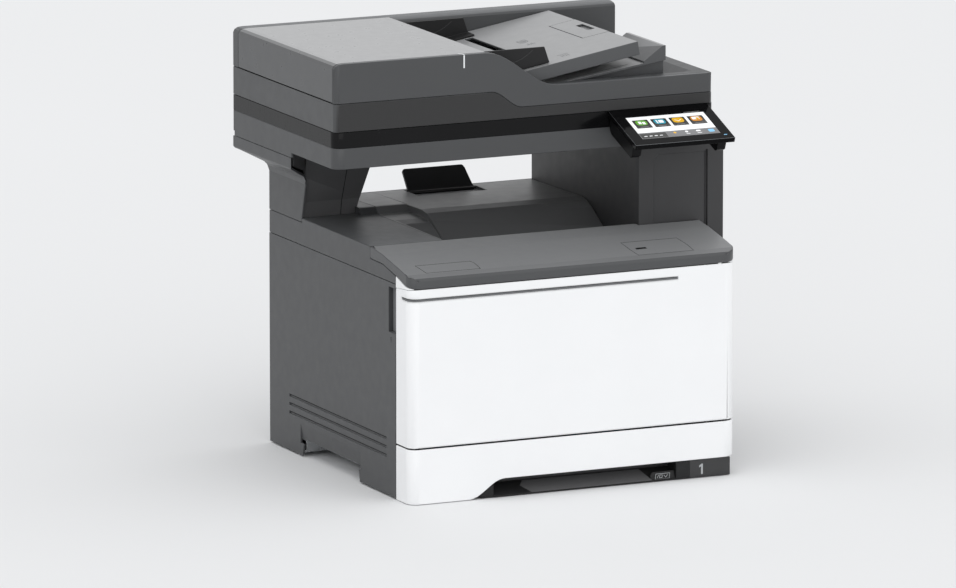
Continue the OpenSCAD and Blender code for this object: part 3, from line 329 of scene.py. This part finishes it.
NODE_LOOKS = {
    "grey": ["left_lower_cover", "left_upper_cover", "right_cover", "rear_cover", "rear_door",
             "left_column_cover", "scanner_base", "adf_front_cover", "adf_rear_cover"],
    "bin": ["output_bin"],
    "base": ["adf_base"],
    "top": ["adf_top_cover"],
    "tray": ["input_tray", "tray_extension", "output_tray"],
    "lid": ["front_lid"],
    "dark": ["tower_shell"],
    "core": ["left_column_core"],
    "block": ["cassette_tray"],
    "jet": ["panel_bracket", "panel_housing"],
    "black": ["paper_stop", "cassette_grip", "guide_front", "guide_rear", "laser_unit",
              "toner_cartridges", "fuser_housing", "scan_carriage", "ac_inlet", "power_switch"],
    "band": ["scanner_frame"],
    "screen": ["panel_glass"],
    "white": ["front_door", "door_corner_trims", "cassette_front"],
    "inner": ["door_liner"],
    "blue": ["side_guide_left", "side_guide_right", "end_guide"],
    "steel": ["base_pan", "side_frames", "lift_plate", "drive_motor", "adf_hinges"],
    "rubber": ["feet", "pick_roller", "exit_roller", "adf_roller"],
    "roller": ["belt_roller"],
    "fuser": ["heat_roller", "press_roller"],
    "belt": ["transfer_belt"],
    "drum": ["drum_black", "drum_cyan", "drum_magenta", "drum_yellow"],
    "glass": ["platen_glass"],
    "pad": ["platen_pad"],
    "board": ["main_board"],
}
# Radius of the moulded edges of each node, in millimetres
EDGE = {"front_door": 0.9, "cassette_front": 0.9, "front_lid": 1.2, "left_upper_cover": 1.2,
        "panel_glass": 0.8, "panel_housing": 1.0, "input_tray": 1.0, "adf_front_cover": 1.0,
        "adf_base": 0.7, "scanner_base": 0.9, "adf_top_cover": 0.6, "adf_rear_cover": 1.2,
        "output_bin": 1.0, "tower_shell": 0.8, "left_column_cover": 0.8, "scanner_frame": 0.5,
        "paper_stop": 0.8, "guide_front": 0.6, "guide_rear": 0.6}
EDGE_OTHERS = 0.35
BEVEL_ANGLE = math.radians(32)
WELD_DISTANCE = 1e-6


def round_edges(obj, radius):
    """A bevel of that radius in millimetres on the hard edges, as a modifier."""
    bevel = obj.modifiers.new("edges", "BEVEL")
    bevel.width, bevel.segments = radius * MM, 2
    bevel.limit_method, bevel.angle_limit = "ANGLE", BEVEL_ANGLE
    bevel.harden_normals = True
    return bevel


def soften(obj, radius):
    """Joins the split faces of a CAD node and rounds its edges, as modifiers."""
    weld = obj.modifiers.new("weld", "WELD")
    weld.merge_threshold = WELD_DISTANCE
    round_edges(obj, radius).use_clamp_overlap = False


def dress_nodes():
    """Gives every CAD node its look; all but the glass get rounded edges."""
    for look, names in NODE_LOOKS.items():
        for name in names:
            obj = NODES[name]
            obj.data.materials.clear()
            obj.data.materials.append(M[look])
            if name != "platen_glass":
                soften(obj, EDGE.get(name, EDGE_OTHERS))


dress_nodes()


# ---------------------------------------------------------------- detail pieces

X, Y, Z = Vector((1, 0, 0)), Vector((0, 1, 0)), Vector((0, 0, 1))


def add_piece(name, vertices, faces, look, body, edge=0.0):
    """A mesh piece from points in metres, riding on a body."""
    mesh = bpy.data.meshes.new(name)
    mesh.from_pydata(vertices, [], faces)
    mesh.materials.append(M[look])
    obj = bpy.data.objects.new(name, mesh)
    bpy.context.scene.collection.objects.link(obj)
    if edge:
        round_edges(obj, edge)
    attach(obj, body)
    return obj


class Plane:
    """A flat face for shapes: an origin in machine millimetres, a right and an up direction."""

    def __init__(self, origin, right, up):
        self.origin, self.right, self.up = at(*origin), right.normalized(), up.normalized()
        self.out = self.right.cross(self.up)

    def point(self, u, v, height=0.0):
        return self.origin + (self.right * u + self.up * v + self.out * height) * MM


def inlay(name, plane, outlines, look, body, top=0.08, bottom=-0.2, edge=0.0):
    """Flat shapes on a plane, all in one piece, from bottom to top above it in millimetres."""
    vertices, faces = [], []
    for outline in outlines:
        first, count = len(vertices), len(outline)
        vertices += [plane.point(u, v, bottom) for u, v in outline]
        vertices += [plane.point(u, v, top) for u, v in outline]
        faces.append([first + i for i in reversed(range(count))])
        faces.append([first + count + i for i in range(count)])
        for i in range(count):
            j = (i + 1) % count
            faces.append([first + i, first + j, first + count + j, first + count + i])
    return add_piece(name, vertices, faces, look, body, edge)


def rect(u0, v0, u1, v1, radius=0.0, steps=4):
    """Outline of a rectangle with rounded corners, anticlockwise."""
    if not radius:
        return [(u0, v0), (u1, v0), (u1, v1), (u0, v1)]
    corners = ((u1 - radius, v0 + radius, -90), (u1 - radius, v1 - radius, 0),
               (u0 + radius, v1 - radius, 90), (u0 + radius, v0 + radius, 180))
    return [(u + radius * math.cos(math.radians(a + 90 * k / steps)),
             v + radius * math.sin(math.radians(a + 90 * k / steps)))
            for u, v, a in corners for k in range(steps + 1)]


def disc(u, v, radius, steps=20):
    """Outline of a circle, as a polygon."""
    return [(u + radius * math.cos(math.tau * k / steps),
             v + radius * math.sin(math.tau * k / steps)) for k in range(steps)]


def stroke(points, width, closed=False):
    """Outlines of the straight pieces of a line of that width, mitred at its corners."""
    spots = [Vector(p) for p in points]
    count = len(spots)
    sides = []
    for i, spot in enumerate(spots):
        before = spots[i - 1] if closed or i else None
        after = spots[(i + 1) % count] if closed or i + 1 < count else None
        incoming = (after - spot if before is None else spot - before).normalized()
        outgoing = incoming if after is None else (after - spot).normalized()
        across = Vector((-(incoming + outgoing).y, (incoming + outgoing).x)).normalized()
        reach = width / 2 / max(0.4, across.dot(Vector((-incoming.y, incoming.x))))
        sides.append((spot + across * reach, spot - across * reach))
    pairs = zip(sides, sides[1:] + (sides[:1] if closed else []))
    return [[tuple(right), tuple(next_right), tuple(next_left), tuple(left)]
            for (left, right), (next_left, next_right) in pairs]


# ---- lid: two outlined hatches and the memory-stick socket

LID_FRONT_Y, LID_FRONT_Z = 11, 283
LOW_RUN, LOW_RISE, HIGH_RUN, HIGH_RISE = 19, 4.2, 50, 9.6
CREASE_Y = LID_FRONT_Y + LOW_RUN
LID_LOW = Plane((0, LID_FRONT_Y, LID_FRONT_Z), X, Vector((0, LOW_RUN, LOW_RISE)))
LID_HIGH = Plane((0, CREASE_Y, LID_FRONT_Z + LOW_RISE), X, Vector((0, HIGH_RUN, HIGH_RISE)))
LOW_LENGTH = math.hypot(LOW_RUN, LOW_RISE)
HATCH_LINE = 0.55


def lid_hatch(name, x0, x1, y0, y1):
    """Outline of a hatch across the crease of the lid's top, in two halves."""
    low = (y0 - LID_FRONT_Y) * LOW_LENGTH / LOW_RUN
    high = (y1 - CREASE_Y) * math.hypot(HIGH_RUN, HIGH_RISE) / HIGH_RUN
    front = [(x0, LOW_LENGTH), (x0 + 3, low), (x1, low), (x1, LOW_LENGTH)]
    back = [(x0, 0), (x0 - 1, high), (x1 - 3, high), (x1, 0)]
    inlay(name + "_low", LID_LOW, stroke(front, HATCH_LINE), "seam", "chassis")
    inlay(name + "_high", LID_HIGH, stroke(back, HATCH_LINE), "seam", "chassis")


lid_hatch("hatch_left", -196, -121, 13, 37)
lid_hatch("hatch_right", 88, 166, 11.5, 53)
inlay("stick_socket", LID_HIGH, [rect(97.6, -0.6, 110.4, 2.9, 0.4)],
      "seam", "chassis")

# ---- front door: grey floor of the long groove, round the left corner and across the front

CORNER_X, CORNER_Y, GROOVE_R = -208, 13, 11.72
GROOVE_BACK_Y, GROOVE_END_X = 25.8, 139.8
STRIP_DEPTH = 0.4


def groove_strip(name, low, high, reach, look):
    """A thin strip along the groove, reach from the centre of the door's corner."""
    turns = [math.radians(a) for a in range(0, 91, 5)]
    path = [(CORNER_X - reach, GROOVE_BACK_Y)]
    path += [(CORNER_X - reach * math.cos(a), CORNER_Y - reach * math.sin(a)) for a in turns]
    path += [(GROOVE_END_X, CORNER_Y - reach)]
    vertices = [at(x, y, z) for z in (low, high) for x, y in path]
    vertices += [at(x + STRIP_DEPTH, y + STRIP_DEPTH, z) for z in (low, high) for x, y in path]
    n = len(path)
    faces = []
    for i in range(n - 1):
        faces += [[i, i + 1, n + i + 1, n + i],
                  [3 * n + i, 3 * n + i + 1, 2 * n + i + 1, 2 * n + i],
                  [i, 2 * n + i, 2 * n + i + 1, i + 1],
                  [n + i + 1, 3 * n + i + 1, 3 * n + i, n + i]]
    add_piece(name, vertices, faces, look, "door")


groove_strip("groove_floor", 250.55, 254.85, GROOVE_R, "groove")
groove_strip("groove_shade", 253.4, 254.87, GROOVE_R + 0.05, "dark")

# ---- cassette: hand notch, number and pictogram

FLOOR_SLOPE = Plane((0, 1.5, 2.4), X, Vector((0, 19.5, 12)))
inlay("notch_floor", FLOOR_SLOPE, [[(-57, 0.3), (106, 0.3), (96, 22.3), (-62, 22.3), (-68, 14)]],
      "floor", "cassette", 0.3, -0.1, 0.1)
for side, x, y, width in (("left", -126, 2.8, 18), ("right", 138, 1.2, 18.8)):
    inlay("notch_block_" + side, Plane((x, y, 1), X, Z), [rect(1, 1, width - 1, 20.8, 0.8)],
          "black", "cassette", 0.35, -0.2, 0.25)
NUMBER_FACE = Plane((0, 1.4, 0), X, Z)
inlay("tray_number", NUMBER_FACE,
      [[(172.4, 4.6), (174.8, 4.6), (174.8, 17.6), (173.1, 17.6), (169.9, 15.4), (169.9, 13.1),
        (172.4, 14.6)]], "pale", "cassette", 0.1)
inlay("number_block_lip", NUMBER_FACE, [rect(157.6, 1.2, 211.4, 2.2)],
      "dark", "cassette", 0.3)
SIGN_FACE = Plane((104.6, 2.4, 1.0), X, Vector((0, 0.25, 1)))
inlay("sign_block", SIGN_FACE, [[(0, 3), (2, 0), (33, 0), (33, 11.4), (3, 11.4), (0, 8)]],
      "black", "cassette", 0.0, -3.0, 0.3)
SIGN_LINE = 0.5
sign = stroke([(6, 2.2), (25, 2.2), (26.6, 8.6), (7.6, 8.6)], SIGN_LINE, True)
sign += stroke([(8.6, 3.6), (11.4, 7.2)], SIGN_LINE)
sign += stroke([(12, 3.8), (15.4, 3.8), (16.2, 7), (12.8, 7)], SIGN_LINE, True)
sign += stroke([(18, 7), (20.4, 3.8), (23.6, 7)], SIGN_LINE)
inlay("sign", SIGN_FACE, sign, "pale", "cassette", 0.07, -0.1)

# ---- sides: scoop of the finger grip, catch mark, shadows of the vent grooves

# The scoop is a paler grey than the cover: painted light against the shade in the grip's recess.
inlay("grip_scoop_painted_light", Plane((-215, 0, 0), -Y, Z), [rect(-61.4, 205.4, -42.4, 260.6, 2)],
      "groove", "chassis", 0.4, -0.1, 0.2)
LEFT_SIDE = Plane((-221, 0, 0), -Y, Z)
catch = stroke(disc(-55, 197.5, 1.7, 16), 0.5, True) + stroke([(-55, 195.6), (-55, 192.6)], 0.6)
inlay("catch_mark", LEFT_SIDE, catch, "seam", "chassis", 0.06, -0.1)
for side, x, right, u0, u1 in (("left", -219.3, -Y, -359.5, -69.5),
                               ("right", 219.3, Y, 69.5, 359.5)):
    inlay("side_grooves_" + side, Plane((x, 0, 0), right, Z),
          [rect(u0, z + 0.1, u1, z + 1.66) for z in (50, 60.7, 71.4)],
          "seam", "chassis", 0.1, -0.1)

# ---- seams of the left column's core

CORE_Y, CORE_BEND_Z, COLUMN_SEAM = 323, 320, 0.9
CORE_LOW = Plane((0, CORE_Y, 0), X, Z)
CORE_HIGH = Plane((0, CORE_Y, CORE_BEND_Z), X, Vector((0, -15, 79.3)))
inlay("column_seam_low", CORE_LOW, stroke([(-167.4, 301.4), (-165.7, 320.4)], COLUMN_SEAM),
      "seam", "chassis", 0.07)
inlay("column_seam_high", CORE_HIGH, stroke([(-165.7, 0), (-157.8, 80)], COLUMN_SEAM),
      "seam", "chassis", 0.07)

# ---- feeder: index mark, tray markings, ribs of the paper guides

FEEDER_FRONT = Plane((0, 110, 0), X, Z)
inlay("index_mark", FEEDER_FRONT, [rect(-98.6, 513, -96.8, 528.9, 0.6)],
      "mark", "feeder", 0.08)
inlay("index_mark_top", Plane((0, 0, 529.2), X, Y),
      [[(-98.6, 110.4), (-96.8, 110.4), (-96.8, 114), (-100.2, 120.4), (-102.6, 120.4),
        (-98.6, 114)]], "mark", "feeder", 0.5)
TRAY_SLOPE = math.radians(9.65)
TRAY_X, TRAY_Z = -58, 490.6
TRAY_TOP = Plane((TRAY_X, 0, TRAY_Z), Vector((math.cos(TRAY_SLOPE), 0, math.sin(TRAY_SLOPE))), Y)
ticks = [rect(112 + 2.4 * i, 246, 112.7 + 2.4 * i, 250 + (3 if i % 2 else 0)) for i in range(5)]
ticks += stroke([(110, 262), (110, 276), (121, 276), (121, 265), (118, 262)], 0.6, True)
ticks += [rect(112, 266 + 2.6 * i, 119, 266.6 + 2.6 * i) for i in range(3)]
ticks += [rect(114 + 3 * i, 150, 114.6 + 3 * i, 158) for i in range(4)]
ticks += stroke([(112, 162), (126, 162)], 0.6)
inlay("tray_marks", TRAY_TOP, ticks, "groove", "tray", 0.12)
inlay("guide_slots", TRAY_TOP, [rect(20, 196, 26, 344, 1), rect(42, 200, 44.5, 340, 1)],
      "seam", "tray", 0.06)
inlay("flap_pull", TRAY_TOP, [rect(188.6, 243.4, 197.4, 278.6, 1.2)],
      "dark", "tray_flap", -2.6, -3.1)
for name, y, body in (("guide_rib_front", 138.0, "paper_guide_front"),
                      ("guide_rib_rear", 374.0, "paper_guide_rear")):
    face = Plane((TRAY_X, y, TRAY_Z), TRAY_TOP.right, TRAY_TOP.out)
    arc = [(40 + 30 * t, 12 + 9 * t * t) for t in (0, 0.25, 0.5, 0.75, 1)]
    inlay(name, face, stroke(arc, 0.7), "dark", body, 0.25, -0.1)
OUTPUT_TOP = Plane((24, 0, 477.6), Vector((133, 0, 19.2)), Y)
inlay("output_line", OUTPUT_TOP, [rect(30, 146, 118, 147, 0.4)],
      "seam", "feeder", 0.06)

# ---- touch panel: display with generic tiles, status bar and light

glass_lo, glass_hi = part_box("panel_glass")
PANEL_TILT, PANEL_LENGTH = math.radians(20.7), 85.4
panel_up = Vector((0, math.cos(PANEL_TILT), math.sin(PANEL_TILT)))
PANEL = Plane((0, 0, 0), X, panel_up)
PANEL_DROP = PANEL_LENGTH * MM * math.sin(PANEL_TILT)
PANEL.origin = Vector((glass_lo.x, glass_lo.y, glass_hi.z - PANEL_DROP))
SHOW_U0, SHOW_U1, SHOW_V0, SHOW_V1 = 15.0, 121.0, 13.7, 65.6
BAR_V = 27.6
TILE, TILE_PITCH, TILE_V0, TILE_V1 = 21.0, 24.9, 38.7, 58.2


def on_screen(name, shapes, look, level):
    """Shapes on the display; each level lies a little above the one before."""
    return inlay(name, PANEL, shapes, look, "panel", 0.03 + 0.03 * level, 0.0)


on_screen("show_field", [rect(SHOW_U0, SHOW_V0, SHOW_U1, SHOW_V1)], "lit_white", 0)
on_screen("show_bar", [rect(SHOW_U0, SHOW_V0, SHOW_U1, BAR_V)], "lit_bar", 1)
on_screen("show_bar_dark", [rect(SHOW_U0 + 1, SHOW_V0 + 1, SHOW_U0 + 36, BAR_V - 2)], "lit_dark", 2)
lefts = [SHOW_U0 + 4.8 + TILE_PITCH * i for i in range(4)]
on_screen("show_tiles", [rect(u, TILE_V0, u + TILE, TILE_V1, 1.0) for u in lefts], "lit_dark", 1)
for u, look in zip(lefts, ("lit_green", "lit_cyan", "lit_yellow", "lit_orange")):
    tag = look[4:]
    on_screen("icon_" + tag, [rect(u + 3, TILE_V0 + 7, u + TILE - 3, TILE_V1 - 1, 4.0)], look, 2)
    on_screen("icon_label_" + tag, [rect(u + 5, TILE_V0 + 2.4, u + TILE - 5, TILE_V0 + 3.6, 0.5)],
              "lit_bar", 2)


def tile_rect(tile, u0, v0, u1, below, radius=0.0):
    """Outline on a tile, from its lower left corner up to a margin below its top."""
    return rect(lefts[tile] + u0, TILE_V0 + v0, lefts[tile] + u1, TILE_V1 - below, radius)


def bar_rect(u0, v0, u1, v1, radius=0.0):
    """Outline on the bar at the display's foot."""
    return rect(SHOW_U0 + u0, SHOW_V0 + v0, SHOW_U0 + u1, SHOW_V0 + v1, radius)


sheets = [tile_rect(0, 6.5, 10, 10.5, 3.5, 0.5), tile_rect(0, 11.5, 9, 15.5, 5, 0.5),
          tile_rect(1, 6, 9, 7.6, 3), tile_rect(1, 9, 9.5, 15.5, 3.5, 0.6),
          tile_rect(3, 5, 11, 15, 2.5, 1.2)]
sheets += stroke([(lefts[2] + u, TILE_V0 + v) for u, v in ((6, 14), (10.5, 10.5), (15, 14))], 0.8)
sheets += [disc(SHOW_U0 + 64, SHOW_V0 + 9.4, 2.0), bar_rect(62, 4.2, 67, 5.2),
           bar_rect(77, 8, 83, 11, 0.8), bar_rect(77, 4.2, 83, 5.2)]
sheets += [bar_rect(5 + 7 * i, 5, 9 + 7 * i, 6.4) for i in range(4)]
on_screen("icon_sheets", sheets, "lit_white", 3)
on_screen("icon_spark", [disc(SHOW_U0 + 48, SHOW_V0 + 9.2, 2.2, 5),
                         disc(lefts[3] + 12, TILE_V0 + 13, 2.2)], "lit_yellow", 4)
on_screen("icon_home", [bar_rect(93, 4.4, 101, 11, 2.0)], "lit_blue", 3)
on_screen("show_header", [rect(SHOW_U0 + 80, SHOW_V1 + 1.6, SHOW_U1 - 4, SHOW_V1 + 2.8, 0.5)],
          "lit_bar", 0)
on_screen("status_light", [rect(123.5, 8.4, 128.0, 9.8, 0.6)], "lit_blue", 0)
# A thin metal strip along the glass's left and front edges stands for the light line there: a
# painted highlight of the glass's bevelled edge.
inlay("glass_highlight_strip", PANEL, stroke([(0.35, PANEL_LENGTH - 1), (0.35, 0.35), (134.9, 0.35)], 0.3),
      "rim", "panel", 0.05, -0.3)

# ---- rear: screws, data sockets, blank plate and the door's finger pull

REAR = Plane((0, 420, 0), -X, Z)


def screw(name, plane, u, v, body):
    """Pan-head screw with a crossed recess."""
    rings = ((2.9, 0.0), (2.9, 0.5), (2.3, 1.0), (1.2, 1.25))
    sides = 20
    vertices = [plane.point(a, b, height) for r, height in rings for a, b in disc(u, v, r, sides)]
    faces = [[r * sides + k, r * sides + (k + 1) % sides,
              (r + 1) * sides + (k + 1) % sides, (r + 1) * sides + k]
             for r in range(len(rings) - 1) for k in range(sides)]
    faces.append([(len(rings) - 1) * sides + k for k in range(sides)])
    add_piece(name, vertices, faces, "bright", body)
    cross = [rect(u - a, v - b, u + a, v + b) for a, b in ((1.1, 0.25), (0.25, 1.1))]
    inlay(name + "_cross", plane, cross, "seam", body, 1.28, 1.0)


REAR_SCREWS = ((-205, 20), (205, 20), (-205, 190), (205, 190), (-205, 290), (60, 20), (-60, 20))
for i, (x, z) in enumerate(REAR_SCREWS):
    screw("rear_screw_%d" % i, REAR, -x, z, "chassis")
PORTS = Plane((0, 406, 0), -X, Z)
for i, (z, high, wide) in enumerate(((78, 14, 16), (104, 11, 12.5), (128, 7, 14), (148, 7, 14))):
    half, middle = wide / 2, z + high / 2
    inlay("socket_shell_%d" % i, PORTS, [rect(183 - half, z, 183 + half, z + high, 0.5)],
          "bright", "chassis", 9.0, -0.2, 0.3)
    inlay("socket_mouth_%d" % i, PORTS, [rect(184 - half, z + 1, 182 + half, z + high - 1, 0.3)],
          "seam", "chassis", 9.1, 8.9)
    inlay("socket_tongue_%d" % i, PORTS,
          [rect(185.5 - half, middle - 0.6, 180.5 + half, middle + 0.6)],
          "copper", "chassis", 9.2, 8.9)
inlay("plate_blank", REAR, [rect(60, 34, 110, 62, 1.5)], "mark", "chassis", 0.12)
rules = [rect(64, 40 + 5 * i, 106 - 9 * (i % 2), 41 + 5 * i) for i in range(4)]
inlay("plate_rule", REAR, rules, "groove", "chassis", 0.16, 0.1)
BACK_DOOR = Plane((0, 420.6, 0), -X, Z)
inlay("back_door_pull", BACK_DOOR, [rect(-32, 262, 32, 274, 4)],
      "seam", "back_door", 0.1)
inlay("back_door_lip", BACK_DOOR, [rect(-30, 270.6, 30, 273.2, 1.2)],
      "grey", "back_door", 1.1, 0.0, 0.4)
ribs = [rect(-110 + 55 * i, 110, -106 + 55 * i, 240, 1.5) for i in range(5)]
inlay("back_door_ribs", BACK_DOOR, ribs, "grey", "back_door", 0.7, -0.1, 0.5)

# ---- inside: toner grips, board chips, scale beside the glass

for i, look in enumerate(("black", "toner_cyan", "toner_magenta", "toner_yellow")):
    face = Plane((-174 + 90 * i, 114, 0), X, Z)
    inlay("toner_grip_%d" % i, face, [rect(14, 206, 64, 232, 6)],
          look, "chassis", 1.2, -0.2, 0.6)
    inlay("toner_slot_%d" % i, face, [rect(26, 214, 52, 224, 3)],
          "seam", "chassis", 1.3, 1.1)
    inlay("toner_arrow_%d" % i, face, [[(36, 234), (42, 234), (39, 239)]],
          "mark", "chassis", 0.1)
FUSER_FACE, LASER_FACE = Plane((0, 38, 0), X, Z), Plane((0, 100, 0), X, Z)
ribs = [rect(u, 209, u + 1.6, 243, 0.6) for u in range(-150, 151, 12) if abs(u) > 44]
inlay("fuser_ribs", FUSER_FACE, ribs, "dark", "chassis", 1.6, -0.2, 0.3)
inlay("heat_plate", FUSER_FACE, [rect(-36, 214, 36, 238, 2)],
      "toner_yellow", "chassis", 0.2)
sign = stroke([(-28, 217.5), (-10, 217.5), (-19, 233.5)], 1.6, True)
sign += [disc(-19, 220.8, 1.0), rect(-19.7, 223, -18.3, 228)]
sign += [rect(-4, 219 + 5 * i, 30 - 7 * i, 221 + 5 * i) for i in range(3)]
inlay("heat_sign", FUSER_FACE, sign, "seam", "chassis", 0.27, 0.1)
for side, u in (("left", -176), ("right", 176)):
    inlay("fuser_lever_" + side, FUSER_FACE,
          [rect(u - 9, 211, u + 9, 241, 4), rect(u - 5, 222, u + 5, 237, 3)],
          "blue", "chassis", 5.0, -0.2, 1.2)
ribs = [rect(u, 95, u + 1.6, 123, 0.6) for u in range(-160, 161, 16)]
inlay("laser_ribs", LASER_FACE, ribs, "dark", "chassis", 1.4, -0.2, 0.3)
BOARD = Plane((-215.4, 0, 0), -Y, Z)
inlay("board_chips", BOARD, [rect(-172, 132, -142, 162, 1), rect(-224, 192, -202, 228, 1),
                             rect(-308, 142, -272, 158, 1)],
      "black", "chassis", 0.3, -0.1, 0.15)
inlay("board_sink", BOARD, [rect(-341 + 4 * i, 202, -339 + 4 * i, 228) for i in range(5)],
      "steel", "chassis", 2.5)
PLATEN = Plane((0, 0, 445), X, Y)


def long_tick(i):
    """Extra length of every fifth tick of the scale."""
    return 2.5 if i % 5 == 0 else 0


scale = [rect(-216 + 10 * i, 373.5, -215.5 + 10 * i, 376 + long_tick(i)) for i in range(32)]
scale += [rect(-220 - long_tick(i), 148 + 10 * i, -217.5, 148.5 + 10 * i) for i in range(23)]
inlay("paper_scale", PLATEN, scale, "mark", "chassis", 0.06)
inlay("corner_arrow", PLATEN, [[(-224, 381), (-218, 375), (-218, 379), (-214, 383)]],
      "mark", "chassis", 0.06)


# ---------------------------------------------------------------- floor and finish

FLOOR_HALF = 40.0


def make_floor():
    """A pale matt ground that runs past the picture."""
    mesh = bpy.data.meshes.new("floor")
    corners = [(-1, -1), (1, -1), (1, 1), (-1, 1)]
    mesh.from_pydata([(x * FLOOR_HALF, y * FLOOR_HALF, 0) for x, y in corners], [], [(0, 1, 2, 3)])
    floor = bpy.data.objects.new("floor", mesh)
    bpy.context.scene.collection.objects.link(floor)
    n = Nodes("floor")
    n.base_colour(n.noise(0.6, 2.0), (0.80, 0.805, 0.81), (0.81, 0.815, 0.82))
    n.roughness(n.noise(40.0, 2.0), 0.85, 0.95)
    n.set(Specular_IOR_Level=0.0)
    mesh.materials.append(n.material)


make_floor()
